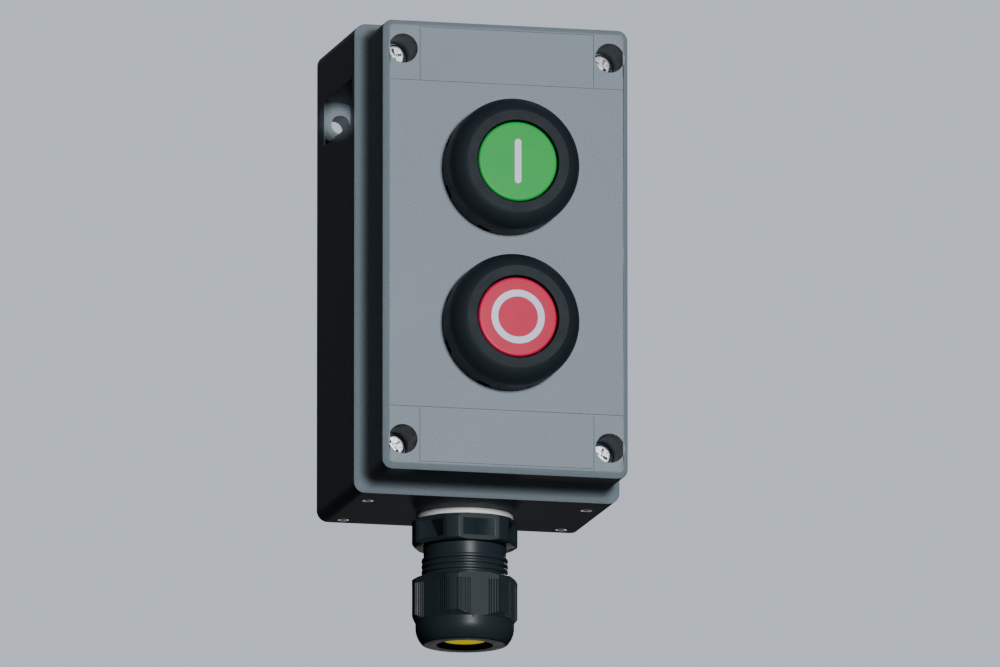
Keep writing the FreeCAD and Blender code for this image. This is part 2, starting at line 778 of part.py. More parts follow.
def button(prefix, up):
    """The cap, stem, clip and return spring, which move together."""
    face = size("ring_high") - size("cap_recess")
    under = face - size("cap_thick")
    radius, wall, corner = size("cap_radius"), size("cap_wall"), size("cap_round")
    cap = new_body(prefix + "_button_cap", ZERO, front, up)
    profile = [
        (ZERO, under + size("spigot_high")), (spigot_radius, under + size("spigot_high")),
        (spigot_radius, under), (radius - wall, under), (radius - wall, face - size("cap_skirt")),
        (radius, face - size("cap_skirt")), (radius, face - corner, corner, 1), (radius - corner, face),
        (ZERO, face),
    ]
    turned(cap, prefix + "_cap_turned", profile)

    stem = new_body(prefix + "_button_stem", ZERO, front, up)
    tip = plunger_top + size("moving_gap") - front
    profile = [
        (ZERO, tip), (size("stem_radius"), tip), (size("stem_radius"), under),
        (spigot_radius, under), (spigot_radius, under + size("spigot_high")),
        (ZERO, under + size("spigot_high")),
    ]
    turned(stem, prefix + "_stem_turned", profile)

    clip = new_body(prefix + "_stem_clip", ZERO, front, up)
    top = -size("sleeve_back") - size("moving_gap")
    ends = (top - size("clip_thick"), top)
    outer = size("stem_radius") + size("clip_wide")
    tube(clip, prefix + "_clip_ring", size("stem_radius"), outer, ends[0], ends[1])

    floor = size("sleeve_floor") - size("sleeve_back")
    coil(prefix + "_return_spring", return_coil, size("return_wire"), size("return_pitch"),
         floor, under, front, up)
    return cap, face


def on_symbol(cap, face, up):
    """A bar with round ends, let into the face of the cap."""
    half = size("bar_wide") / 2
    straight = size("bar_high") / 2 - half
    bar = [
        (-half, -straight, half * HALF_CIRCLE, 1), (half, -straight),
        (half, straight, half * HALF_CIRCLE, 1), (-half, straight),
    ]
    let_in(cap, "on_symbol", [bar], face, up)


def off_symbol(cap, face, up):
    """A round O, let into the face of the cap."""
    let_in(cap, "off_symbol", [
        (ZERO, ZERO, size("letter_outer")),
        (ZERO, ZERO, size("letter_outer") - size("letter_line")),
    ], face, up)


def let_in(cap, label, shapes, face, up):
    sunk = size("symbol_thick")
    pocket(cap, label + "_recess", shapes, face, sunk)
    symbol = new_body(label, ZERO, front, up)
    pad(symbol, label + "_inlay", shapes, face - sunk, sunk + size("symbol_proud"))


# ---- contact blocks ----
def contact_rail():
    body = new_body("contact_rail")
    floor, high, sheet_thick = size("floor_thick"), size("rail_high"), size("rail_sheet")
    half_long, channel = rail_half_long, size("rail_channel")
    side = rail_half_wide
    strip = rectangle(-channel, -half_long, channel, half_long)
    pad(body, "rail_channel_floor", [strip], floor, sheet_thick)
    webs, lips = [], []
    for way in (1, -1):
        outer, inner = channel * way, (channel - sheet_thick) * way
        edge = side * way
        webs.append(rectangle(min_of(outer, inner), -half_long, max_of(outer, inner), half_long))
        lips.append(rectangle(min_of(inner, edge), -half_long, max_of(inner, edge), half_long))
    pad(body, "rail_webs", webs, floor, high)
    pad(body, "rail_lips", lips, floor + high - sheet_thick, sheet_thick)
    holes = discs_at(RAIL_SCREW_PLACES, size("rail_screw_radius"))
    pocket(body, "rail_holes", holes, floor + sheet_thick, sheet_thick)

    screws = new_body("rail_screws")
    skin = size("rail_screw_skin")
    pad(screws, "rail_screw_shanks", holes, skin, floor + sheet_thick - skin)
    heads = discs_at(RAIL_SCREW_PLACES, size("rail_screw_head"))
    pad(screws, "rail_screw_heads", heads, floor + sheet_thick, size("rail_head_high"))


def min_of(first, second):
    return first if first.value < second.value else second


def max_of(first, second):
    return first if first.value > second.value else second


def contact_block(prefix, up, bridge_up, closes):
    """One contact block. Its bridge meets the fixed contacts when pressed, or leaves them."""
    wide, high = block_half_wide, size("block_half_high")
    chamber = rectangle(-chamber_half_wide, -chamber_half_high,
                        chamber_half_wide, chamber_half_high)
    strip_low = bridge_up - size("travel") - size("contact_gap") - size("strip_thick")
    if not closes:
        strip_low = bridge_up + size("bridge_thick") + size("contact_gap") / 2
    strip_high = strip_low + size("strip_thick")
    terminal_up = high - size("terminal_end_gap")
    terminals = [(ZERO, terminal_up), (ZERO, -terminal_up)]
    strips = [strip_outline(1), strip_outline(-1)]
    bore = size("plunger_radius") + size("running_fit")

    body = new_body(prefix + "_contact_housing", ZERO, ZERO, up)
    pad(body, prefix + "_block", [rectangle(-wide, -high, wide, high)], rail_top, size("block_deep"))
    claws, hooks = [], []
    edge = claw_inner
    for left, right, hook_left, hook_right in (
        (edge, wide, edge - size("claw_grip"), edge),
        (-wide, -edge, -edge, size("claw_grip") - edge),
    ):
        claws.append(rectangle(left, -high, right, high))
        hooks.append(rectangle(hook_left, -high, hook_right, high))
    claw_low = rail_top - size("claw_deep")
    pad(body, prefix + "_claws", claws, claw_low, size("claw_deep"))
    hook_high = size("claw_deep") - size("rail_sheet") - size("claw_clear")
    pad(body, prefix + "_hooks", hooks, claw_low, hook_high)
    chamber_deep = size("block_deep") - size("chamber_floor")
    pocket(body, prefix + "_chamber", [chamber], block_top, chamber_deep)
    pocket(body, prefix + "_strip_slots", strips, block_top, block_top - strip_low)

    fixed = new_body(prefix + "_fixed_contacts", ZERO, ZERO, up)
    pad(fixed, prefix + "_strips", strips, strip_low, size("strip_thick"))

    screws = new_body(prefix + "_terminal_screws", ZERO, ZERO, up)
    heads = discs_at(terminals, size("terminal_radius"))
    pad(screws, prefix + "_terminal_heads", heads, strip_high, size("terminal_high"))
    slots = slots_at(terminals, size("terminal_radius"), size("terminal_slot_wide"))
    terminal_top = strip_high + size("terminal_high")
    pocket(screws, prefix + "_terminal_slots", slots, terminal_top, size("terminal_slot_deep"))

    lid = new_body(prefix + "_contact_lid", ZERO, ZERO, up)
    pad(lid, prefix + "_lid", [chamber, (ZERO, ZERO, bore)], block_top - size("lid_thick"), size("lid_thick"))

    plunger = new_body(prefix + "_plunger", ZERO, ZERO, up)
    neck, shaft = plunger_neck, size("plunger_radius")
    shoulder = bridge_up + size("bridge_thick")
    neck_low = bridge_up - size("plunger_tail")
    profile = [
        (ZERO, neck_low), (neck, neck_low), (neck, shoulder), (shaft, shoulder),
        (shaft, plunger_top), (ZERO, plunger_top),
    ]
    turned(plunger, prefix + "_plunger_turned", profile)

    bridge = new_body(prefix + "_bridge_contact", ZERO, ZERO, up)
    half_across, half_along = size("bridge_half_wide"), chamber_half_high - size("bridge_end_gap")
    bar = rectangle(-half_across, -half_along, half_across, half_along)
    pad(bridge, prefix + "_bridge_bar", [bar, (ZERO, ZERO, neck)], bridge_up, size("bridge_thick"))

    floor = rail_top + size("chamber_floor")
    coil(prefix + "_contact_spring", contact_coil, size("contact_wire"), size("contact_pitch"),
         floor, bridge_up, ZERO, up)


def strip_outline(way):
    """The plan of one fixed contact, from the chamber out to its terminal."""
    half = size("strip_half_wide")
    inner = (size("plunger_radius") + size("strip_clear")) * way
    outer = (size("block_half_high") - size("strip_end_gap")) * way
    return rectangle(-half, min_of(inner, outer), half, max_of(inner, outer))


def earth_terminal():
    body = new_body("earth_terminal", ZERO, size("floor_thick"), earth_y)
    wide, high = size("earth_half_wide"), size("earth_half_high")
    pad(body, "earth_bar", [rectangle(-wide, -high, wide, high)], ZERO, size("earth_thick"))
    places = [(size("earth_screw_side"), ZERO), (-size("earth_screw_side"), ZERO)]
    holes = discs_at(places, size("earth_screw_radius"))
    pocket(body, "earth_holes", holes, size("earth_thick"), size("earth_thick") - size("earth_skin"))
    screws = new_body("earth_screws", ZERO, size("floor_thick"), earth_y)
    low = size("earth_screw_low")
    pad(screws, "earth_shanks", holes, low, size("earth_thick") - low)
    heads = discs_at(places, size("earth_screw_head"))
    pad(screws, "earth_heads", heads, size("earth_thick"), size("earth_head_high"))
    slots = slots_at(places, size("earth_screw_head"), size("earth_slot_wide"))
    head_top = size("earth_thick") + size("earth_head_high")
    pocket(screws, "earth_slots", slots, head_top, size("earth_slot_deep"))


# ---- cable gland, drawn hanging from the bottom face ----
hex_top = -size("washer_thick")
hex_bottom = hex_top - size("body_hex_high")
thread_top = hex_bottom - size("neck_high")
nut_top = thread_top - size("thread_seen")
thread_bottom = nut_top - size("thread_hidden")
finger_bottom = thread_bottom - size("finger_high")
nut_hex_bottom = nut_top - size("nut_hex_high")
nut_bottom = nut_hex_bottom - size("nut_dome_high")
lip_bottom = nut_bottom + size("nut_mouth_deep")
lip_top = lip_bottom + size("nut_lip_thick")
plug_bottom = lip_top + size("moving_gap")
bush_bottom = plug_bottom + size("plug_thick")


def gland_piece(label):
    return new_body(label, ZERO, gland_forward, -half_high, LEVEL)


def gland_body():
    body = gland_piece("gland_body")
    entry, bore, thread = size("entry_radius"), gland_bore, thread_radius
    neck, finger = neck_radius, finger_radius
    profile = [
        (bore, finger_bottom), (finger, finger_bottom), (thread, thread_bottom), (thread, thread_top),
        (neck, thread_top), (neck, hex_bottom), (entry, hex_top), (entry, size("entry_long")),
        (bore, size("entry_long")),
    ]
    turned(body, "gland_tube", profile)
    turn = size("gland_turn").value
    hex_plan = hexagon(gland_flats, gland_corners, turn)
    collar = neck - size("collar_overlap")
    pad(body, "gland_hex", [hex_plan, (ZERO, ZERO, collar)], hex_bottom, size("body_hex_high"))
    half = size("finger_slot") / 2
    slots = []
    within, beyond = bore - size("cut_over"), thread + size("cut_over")
    for number in range(FINGERS):
        corners = rectangle(within, -half, beyond, half)
        slots.append([turned_point(x, y, 360 * number / FINGERS) for x, y in corners])
    over = size("finger_slot_over")
    pocket(body, "finger_slots", slots, thread_bottom + over, size("finger_high") + over * 2)


def gland_dome_nut():
    nut = gland_piece("gland_dome_nut")
    turn = size("gland_turn").value
    thread = thread_radius + size("running_fit")
    finger = finger_radius + size("moving_gap")
    barrel = gland_flats / 2
    tip = barrel - size("nut_dome_inset")
    round_rise = size("nut_dome_round")
    across = barrel - tip
    curve = (across * across + round_rise * round_rise) / (across * 2)
    cone_low = finger_bottom - size("moving_gap")
    profile = [
        (lip_radius + size("nut_mouth_flare"), nut_bottom), (tip, nut_bottom, curve, 1),
        (barrel, nut_bottom + round_rise),
        (barrel, nut_top), (thread, nut_top), (thread, thread_bottom - size("moving_gap")),
        (finger, cone_low), (finger, lip_top), (lip_radius, lip_top),
        (lip_radius, lip_bottom),
    ]
    turned(nut, "nut_shell", profile)
    hex_plan = hexagon(gland_flats, gland_corners, turn)
    collar = barrel - size("collar_overlap")
    pad(nut, "nut_hex", [hex_plan, (ZERO, ZERO, collar)], nut_hex_bottom, size("nut_hex_high"))


def gland_small_pieces():
    entry, bore = size("entry_radius"), gland_bore
    washer = gland_piece("gland_washer")
    tube(washer, "gland_washer_ring", entry, entry + size("washer_wide"), hex_top, ZERO)

    lock = gland_piece("gland_lock_nut")
    shapes = [hexagon(lock_flats, lock_flats * GLAND_LOCK_CORNERS, 0), (ZERO, ZERO, entry)]
    pad(lock, "gland_lock_hex", shapes, size("side_wall"), size("nut_lock_thick"))

    bush = gland_piece("gland_seal_bush")
    tube(bush, "bush_ring", bore - size("bush_wall"), bore, bush_bottom, thread_top)

    plug = gland_piece("gland_dust_plug")
    disc_radius = lip_radius - size("moving_gap")
    flange = bore - size("plug_inset")
    profile = [
        (ZERO, lip_bottom), (disc_radius, lip_bottom), (disc_radius, plug_bottom),
        (flange, plug_bottom), (flange, bush_bottom), (ZERO, bush_bottom),
    ]
    turned(plug, "plug_turned", profile)


def build_all():
    base_housing()
    front_cover()
    cover_gasket()
    fasteners()
    for prefix, up in (("on", station_y), ("off", -station_y)):
        bezel_ring(prefix, up)
        guide_sleeve(prefix, up)
        cap, face = button(prefix, up)
        if prefix == "on":
            on_symbol(cap, face, up)
        else:
            off_symbol(cap, face, up)
    contact_rail()
    contact_block("on", station_y, rail_top + size("bridge_make_up"), True)
    contact_block("off", -station_y, rail_top + size("bridge_break_up"), False)
    earth_terminal()
    gland_body()
    gland_dome_nut()
    gland_small_pieces()


def check_document():
    """Stops if any feature failed or any piece is empty or invalid."""
    document.recompute()
    for thing in document.Objects:
        if "Invalid" in thing.State or "Error" in thing.State:
            raise RuntimeError("%s failed: %s" % (thing.Label, thing.State))
    pieces = [thing for thing in document.Objects if thing.isDerivedFrom("PartDesign::Body")]
    for piece in pieces:
        if piece.Shape.isNull() or not piece.Shape.isValid():
            raise RuntimeError("%s has no valid shape" % piece.Label)
    return pieces


def export(pieces):
    os.makedirs("parts", exist_ok=True)
    for piece in pieces:
        piece.Shape.exportStep("parts/%s.step" % piece.Label)
        box = piece.Shape.BoundBox
        print("%-24s %2d solids %9.1f mm3  X %7.2f %7.2f  Y %7.2f %7.2f  Z %8.2f %8.2f" % (
            piece.Label, len(piece.Shape.Solids), piece.Shape.Volume,
            box.XMin, box.XMax, box.YMin, box.YMax, box.ZMin, box.ZMax))


build_all()
export(check_document())
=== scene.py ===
# %% [markdown]
# # A two-button control station
#
# This lesson dresses a finished CAD model of a wall-mounted control station: a moulded base, a
# lift-off cover with a green and a red push button, contact blocks inside and a cable gland
# underneath. The CAD model says where everything is. Each cell here makes one piece of the station
# in more detail, or gives one of its finishes, and prints what it made.

import json
import math

import bmesh
import bpy
from mathutils import Matrix, Vector


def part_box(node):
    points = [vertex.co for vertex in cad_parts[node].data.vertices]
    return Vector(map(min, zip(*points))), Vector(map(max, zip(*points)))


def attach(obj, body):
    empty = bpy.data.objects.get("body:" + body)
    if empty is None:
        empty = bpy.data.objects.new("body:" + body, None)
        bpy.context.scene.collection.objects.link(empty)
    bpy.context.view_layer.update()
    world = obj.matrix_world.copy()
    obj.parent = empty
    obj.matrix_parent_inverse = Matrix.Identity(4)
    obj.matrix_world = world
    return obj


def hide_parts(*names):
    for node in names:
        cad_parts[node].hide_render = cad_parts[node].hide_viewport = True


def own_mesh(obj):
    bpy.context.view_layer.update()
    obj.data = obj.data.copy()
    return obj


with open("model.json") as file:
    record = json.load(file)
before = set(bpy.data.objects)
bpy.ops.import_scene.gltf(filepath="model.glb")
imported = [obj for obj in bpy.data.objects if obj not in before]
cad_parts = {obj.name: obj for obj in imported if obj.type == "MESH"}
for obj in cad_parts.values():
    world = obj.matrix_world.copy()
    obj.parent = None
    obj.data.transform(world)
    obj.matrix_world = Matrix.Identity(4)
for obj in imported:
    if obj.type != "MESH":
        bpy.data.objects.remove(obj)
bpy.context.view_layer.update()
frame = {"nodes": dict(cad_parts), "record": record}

# %% [markdown]
# ## Units and directions
#
# Blender works in metres, but a maker thinks in millimetres. Pieces on the front are drawn as on
# paper, with x to the right, y up and z coming forward from the wall, and a matrix then stands the
# drawing upright, so that its z points along -Y. Pieces of the gland hang straight down, so they are
# drawn with their real height as z and only pushed forward to the gland's axis. The main places
# come from the CAD boxes. The smaller sizes are written once, in the cell that first needs them.

# %% Places read from the frame
MM = 0.001


def cad(node):
    """A CAD node's lowest and highest corner in millimetres."""
    low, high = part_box(node)
    return [c / MM for c in low], [c / MM for c in high]


base_low, base_high = cad("base_housing")
cover_low = cad("front_cover")[0]
ring_low, ring_high = cad("on_bezel_ring")
lower_low, lower_high = cad("off_bezel_ring")
gland_low, gland_high = cad("gland_body")

half_wide, half_high = base_high[0], base_high[2]
base_deep, front = -base_low[1], -cover_low[1]
station_up = {"on": (ring_low[2] + ring_high[2]) / 2, "off": (lower_low[2] + lower_high[2]) / 2}
gland_forward = -(gland_low[1] + gland_high[1]) / 2

DRAWN_ON_FRONT = Matrix.Rotation(math.radians(90), 4, "X") @ Matrix.Scale(MM, 4)
HANGING = Matrix.Translation((0, -gland_forward * MM, 0)) @ Matrix.Scale(MM, 4)


def on_front(x, y, forward):
    """The matrix that puts a drawing on the front, with its origin at this place."""
    return DRAWN_ON_FRONT @ Matrix.Translation((x, y, forward))


print("enclosure %.0f x %.0f mm, front face %.1f mm from the wall" % (half_wide * 2, half_high * 2, front))
print("stations at", station_up, "gland axis", round(gland_forward, 2), "mm from the wall")

# %% [markdown]
# ## The camera
#
# The station is seen from a long way off through a long lens, from a little to the left and a
# little below, so that upright edges stay parallel and the gland shows under the box. Building the
# camera from its own back, right and up directions lets us aim it at a point beside the object.

# %% Camera
AZIMUTH = -13.67
ELEVATION = -11.15
LENS = 1000.0
SENSOR = 36.0
FRAME_WIDE = 292.4
AIM_LEFT = 1.96
AIM_DOWN = 25.03

turn, tilt = math.radians(AZIMUTH), math.radians(ELEVATION)
back = Vector((math.sin(turn) * math.cos(tilt), -math.cos(turn) * math.cos(tilt), math.sin(tilt)))
right = Vector((math.cos(turn), math.sin(turn), 0))
up = back.cross(right)
aim = Vector((0, -front, 0)) - right * AIM_LEFT - up * AIM_DOWN

camera = bpy.data.objects.new("camera", bpy.data.cameras.new("camera"))
bpy.context.scene.collection.objects.link(camera)
camera.data.lens = LENS
camera.data.sensor_width = SENSOR
camera.data.clip_start = 0.1
camera.data.clip_end = 50.0
distance = FRAME_WIDE * LENS / SENSOR
camera.location = (aim + back * distance) * MM
camera.rotation_mode = "QUATERNION"
camera.rotation_quaternion = (-back).to_track_quat("-Z", "Y")
bpy.context.scene.camera = camera
print("camera %.2f m away" % (distance * MM))

# %% [markdown]
# ## Floor, surroundings and light
#
# The studio is plain and pale. Because the camera looks up at the station, the floor lies far
# below, where no view gets under it. The surroundings look pale to the camera but light the
# station only weakly: the station's own dark sides need to stay dark.

# %% Floor
FLOOR_DOWN = -10.0
FLOOR_HALF = 60.0

floor_bm = bmesh.new()
bmesh.ops.create_grid(floor_bm, x_segments=1, y_segments=1, size=FLOOR_HALF,
                      matrix=Matrix.Translation((0, 0, FLOOR_DOWN)))
floor_mesh = bpy.data.meshes.new("floor")
floor_bm.to_mesh(floor_mesh)
floor_bm.free()
floor = bpy.data.objects.new("floor", floor_mesh)
bpy.context.scene.collection.objects.link(floor)

floor_paint = bpy.data.materials.new("pale_floor")
floor_paint.use_nodes = True
floor_shader = floor_paint.node_tree.nodes["Principled BSDF"]
floor_shader.inputs["Base Color"].default_value = (0.75, 0.76, 0.77, 1)
floor_shader.inputs["Roughness"].default_value = 0.8
floor_mesh.materials.append(floor_paint)
print("floor at", FLOOR_DOWN, "m")

# %% Surroundings
PALE = (0.60, 0.66, 0.74, 1)
SEEN_STRENGTH = 1.0
LIT_STRENGTH = 0.022

world = bpy.data.worlds.new("studio")
bpy.context.scene.world = world
world.use_nodes = True
sky = world.node_tree
sky.nodes.clear()
seen = sky.nodes.new("ShaderNodeBackground")
lit = sky.nodes.new("ShaderNodeBackground")
path = sky.nodes.new("ShaderNodeLightPath")
either = sky.nodes.new("ShaderNodeMixShader")
sky_out = sky.nodes.new("ShaderNodeOutputWorld")
seen.inputs["Color"].default_value = PALE
seen.inputs["Strength"].default_value = SEEN_STRENGTH
lit.inputs["Color"].default_value = PALE
lit.inputs["Strength"].default_value = LIT_STRENGTH
sky.links.new(path.outputs["Is Camera Ray"], either.inputs[0])
sky.links.new(lit.outputs[0], either.inputs[1])
sky.links.new(seen.outputs[0], either.inputs[2])
sky.links.new(either.outputs[0], sky_out.inputs["Surface"])
print("surroundings seen at", SEEN_STRENGTH, "and lighting at", LIT_STRENGTH)

# %% [markdown]
# One soft lamp close to the line of sight from the front does most of the work. It is fairly small,
# so the sides of the station stay dark and the edges of its face stay crisp. Three lamps behind and
# above keep the back, the top and the right side readable, and a very weak one from behind and
# below puts a glint on the metal in the bottom wall.

# %% Lamps
WHOLE_MIDDLE_UP = -20.0


def soft_lamp(name, toward, metres, wide, watts, tint):
    """A square lamp in the direction toward, facing the middle of the station."""
    lamp = bpy.data.objects.new(name, bpy.data.lights.new(name, "AREA"))
    bpy.context.scene.collection.objects.link(lamp)
    lamp.data.shape = "SQUARE"
    lamp.data.size = wide
    lamp.data.energy = watts
    lamp.data.color = tint
    direction = Vector(toward).normalized()
    middle = Vector((0, -front / 2, WHOLE_MIDDLE_UP)) * MM
    lamp.location = middle + direction * metres
    lamp.rotation_mode = "QUATERNION"
    lamp.rotation_quaternion = (-direction).to_track_quat("-Z", "Y")
    return lamp


# name: direction, metres away, metres wide, watts, tint
LAMPS = {
    "front_softbox": ((0.02, -1.0, 0.025), 2.2, 0.24, 58, (0.99, 1.0, 1.0)),
    "right_back_strip": ((0.55, 1.0, 0.55), 2.2, 0.8, 17, (0.92, 0.96, 1.0)),
    "top_fill": ((0.45, 0.25, 1.0), 2.4, 0.8, 3, (0.95, 0.98, 1.0)),
    "left_back_fill": ((-0.6, 1.0, 0.9), 2.4, 0.8, 4, (0.92, 0.96, 1.0)),
    "underside_glint": ((0.23, 0.954, -0.193), 2.2, 0.22, 0.28, (1, 1, 1)),
}
for name, row in LAMPS.items():
    soft_lamp(name, *row)
print(len(LAMPS), "soft lamps:", ", ".join(LAMPS))

# %% [markdown]
# The fixing pocket in the left wall is deep and narrow, so no soft lamp reaches its plate. A spot
# lamp with a beam only one degree wide does, and lights nothing else.

# %% Pocket lamp
POCKET_PLATE = Vector((-36.0, -9.5, 48.5)) * MM
POCKET_LAMP_AWAY, POCKET_LAMP_SIZE, POCKET_LAMP_WATTS = 0.56, 0.002, 14
POCKET_BEAM, POCKET_BLEND = math.radians(1.0), 0.2

pocket_lamp = bpy.data.objects.new("pocket_lamp", bpy.data.lights.new("pocket_lamp", "SPOT"))
bpy.context.scene.collection.objects.link(pocket_lamp)
pocket_lamp.data.energy = POCKET_LAMP_WATTS
pocket_lamp.data.spot_size = POCKET_BEAM
pocket_lamp.data.spot_blend = POCKET_BLEND
pocket_lamp.data.shadow_soft_size = POCKET_LAMP_SIZE
pocket_lamp.location = POCKET_PLATE + back * POCKET_LAMP_AWAY
pocket_lamp.rotation_mode = "QUATERNION"
pocket_lamp.rotation_quaternion = (-back).to_track_quat("-Z", "Y")

# %% [markdown]
# ## Finishes
#
# Moulded plastic is never one flat colour. Its mould leaves a fine grain that catches the light,
# the pigment drifts a little from place to place, and some patches are slightly glossier than
# others. All three come from noise textures, read in object coordinates so that a grain has its real
# size: a noise scale of 3000 per metre gives specks about a third of a millimetre across.

# %% Noise
def noise(tree, scale, detail=2.0, roughness=0.5, stretch=None):
    """A noise texture in object coordinates; stretch squeezes it along chosen axes."""
    place = tree.nodes.new("ShaderNodeTexCoord")
    texture = tree.nodes.new("ShaderNodeTexNoise")
    texture.inputs["Scale"].default_value = scale
    texture.inputs["Detail"].default_value = detail
    texture.inputs["Roughness"].default_value = roughness
    if stretch is None:
        tree.links.new(place.outputs["Object"], texture.inputs["Vector"])
    else:
        mapping = tree.nodes.new("ShaderNodeMapping")
        mapping.inputs["Scale"].default_value = stretch
        tree.links.new(place.outputs["Object"], mapping.inputs["Vector"])
        tree.links.new(mapping.outputs["Vector"], texture.inputs["Vector"])
    return texture.outputs["Fac"]


print("noise helper ready")


# %% Turning noise into colours and numbers
def ramp(tree, source, low, high, start=0.35, end=0.65):
    """Colours from low to high as the source goes from start to end."""
    node = tree.nodes.new("ShaderNodeValToRGB")
    node.color_ramp.elements[0].position = start
    node.color_ramp.elements[1].position = end
    node.color_ramp.elements[0].color = low
    node.color_ramp.elements[1].color = high
    tree.links.new(source, node.inputs["Fac"])
    return node.outputs["Color"]


def between(tree, source, low, high, start=0.3, end=0.7):
    """Numbers from low to high as the source goes from start to end."""
    node = tree.nodes.new("ShaderNodeMapRange")
    node.inputs["From Min"].default_value = start
    node.inputs["From Max"].default_value = end
    node.inputs["To Min"].default_value = low
    node.inputs["To Max"].default_value = high
    tree.links.new(source, node.inputs["Value"])
    return node.outputs["Result"]


def shade(colour, factor):
    """A colour made lighter or darker."""
    return tuple(min(1.0, c * factor) for c in colour[:3]) + (1.0,)


print("colour helpers ready")

# %% A finish
DRIFT_SCALE, PATCH_SCALE = 45.0, 170.0


def finish_of(name, colour, rough, grain, grain_deep, drift, speck, metal=0.0, level=0.5,
              patchy=0.12, stretch=None):
    """A finish with a fine grain, a slow drift of tone, small specks and patchy gloss."""
    material = bpy.data.materials.new(name)
    material.use_nodes = True
    tree = material.node_tree
    shader = tree.nodes["Principled BSDF"]
    shader.inputs["Metallic"].default_value = metal
    shader.inputs["Specular IOR Level"].default_value = level
    fine = noise(tree, grain, 3.0, 0.6, stretch)
    slow = noise(tree, DRIFT_SCALE, 3.0, 0.55)
    base = ramp(tree, slow, shade(colour, 1 - drift), shade(colour, 1 + drift), 0.3, 0.7)
    speckle = ramp(tree, fine, shade((1, 1, 1), 1 - speck), (1, 1, 1, 1), 0.3, 0.6)
    mix = tree.nodes.new("ShaderNodeMix")
    mix.data_type = "RGBA"
    mix.blend_type = "MULTIPLY"
    mix.inputs["Factor"].default_value = 1.0
    tree.links.new(base, mix.inputs[6])
    tree.links.new(speckle, mix.inputs[7])
    tree.links.new(mix.outputs[2], shader.inputs["Base Color"])
    patch = noise(tree, PATCH_SCALE, 4.0, 0.6)
    gloss = between(tree, patch, rough * (1 - patchy), rough * (1 + patchy))
    tree.links.new(gloss, shader.inputs["Roughness"])
    bump = tree.nodes.new("ShaderNodeBump")
    bump.inputs["Strength"].default_value = 1.0
    bump.inputs["Distance"].default_value = grain_deep * MM
    tree.links.new(fine, bump.inputs["Height"])
    tree.links.new(bump.outputs["Normal"], shader.inputs["Normal"])
    return material


print("finish helper ready")

# %% [markdown]
# Each finish is named as the parts list names it. The enclosure is a grey moulding with a visible
# grain, the bezels and the gland are a darker, smoother plastic, and the caps are the smoothest, with
# a soft sheen. The screws and the brass have a grain stretched along the way they were worked. The
# plug sits deep in the nut's mouth, where almost no lamp light reaches it, so it carries painted light:
# a faint emission in its own yellow makes it glow, though it is no lamp.

# %% The finishes
# name: colour, roughness, grain per metre, grain depth in mm, drift of tone, specks, and the rest
FINISH_ROWS = {
    "housing_plastic": ((0.205, 0.250, 0.290), 0.55, 2300, 0.05, 0.02, 0.24,
                        {"level": 0.25, "patchy": 0.02}),
    "bezel_plastic": ((0.012, 0.018, 0.023), 0.50, 3600, 0.010, 0.06, 0.12, {"level": 0.10}),
    "gland_plastic": ((0.015, 0.024, 0.029), 0.40, 3200, 0.008, 0.06, 0.10, {"level": 0.18}),
    "contact_plastic": ((0.46, 0.47, 0.46), 0.45, 2200, 0.02, 0.05, 0.08, {}),
    "plunger_plastic": ((0.72, 0.72, 0.69), 0.32, 2600, 0.01, 0.04, 0.05, {}),
    "seal_rubber": ((0.022, 0.022, 0.023), 0.72, 1900, 0.03, 0.15, 0.2, {}),
    "white_seal": ((0.80, 0.80, 0.78), 0.48, 2400, 0.015, 0.03, 0.05, {}),
    "green_cap": ((0.002, 0.35, 0.052), 0.34, 3000, 0.002, 0.04, 0.02, {"level": 0.16}),
    "red_cap": ((0.54, 0.008, 0.055), 0.34, 3000, 0.002, 0.04, 0.02, {"level": 0.16}),
    "yellow_plug": ((0.82, 0.66, 0.01), 0.38, 2600, 0.01, 0.05, 0.05, {}),
    "symbol_inlay": ((0.60, 0.60, 0.78), 0.34, 2600, 0.004, 0.03, 0.03, {}),
    "bright_steel": ((0.66, 0.66, 0.68), 0.24, 1500, 0.01, 0.06, 0.08, {"metal": 1.0, "stretch": (1, 6, 1)}),
    "spring_steel": ((0.52, 0.53, 0.55), 0.30, 1800, 0.008, 0.08, 0.1, {"metal": 1.0}),
    "brass": ((0.70, 0.50, 0.20), 0.28, 1500, 0.01, 0.10, 0.10, {"metal": 1.0, "stretch": (1, 6, 1)}),
}
FINISH = {name: finish_of(name, *row[:-1], **row[-1]) for name, row in FINISH_ROWS.items()}

# Painted light: the plug's finish emits its own yellow, standing in for lamp light that does not reach it
# deep in the mouth.
PLUG_PAINTED_GLOW = 0.5
plug_shader = FINISH["yellow_plug"].node_tree.nodes["Principled BSDF"]
plug_shader.inputs["Emission Color"].default_value = FINISH_ROWS["yellow_plug"][0] + (1,)
plug_shader.inputs["Emission Strength"].default_value = PLUG_PAINTED_GLOW
print(len(FINISH), "finishes:", ", ".join(sorted(FINISH)))

# %% [markdown]
# ## Every CAD piece gets its finish
#
# The parts inside the box, such as the contact blocks, are right as they are, and only need a
# finish. The record lists which finish each subpart takes. The pieces that later cells model anew
# are hidden then, one by one.

# %% Paint the CAD nodes
SLOT_OF = {part["node"]: part["material_slot"] for part in frame["record"]["subparts"]}
for node, slot_name in SLOT_OF.items():
    mesh = frame["nodes"][node].data
    mesh.materials.clear()
    mesh.materials.append(FINISH[slot_name])
print(len(SLOT_OF), "CAD nodes painted")

# %% [markdown]
# ## Drawing with loops
#
# Most moulded pieces are a stack of outlines: a closed loop of edges at one height, walls rising
# from it, another loop, and a flat face with holes in it. So the helpers make loops, join two loops
# with walls, and fill a flat face. A rounded corner is a bevelled vertex, which is the same tool as
# in the editor, called through bmesh.

# %% Loop helpers
ROUND_STEPS = 6
SAME_PLACE, TINY, CLOSE = 1e-4, 1e-5, 1e-3


def round_corners(bm, verts, radius, steps):
    """Rounds the corners at these vertices of a face."""
    bmesh.ops.bevel(bm, geom=verts, affect="VERTICES", offset=radius, offset_type="OFFSET",
                    segments=steps, profile=0.5, material=-1)


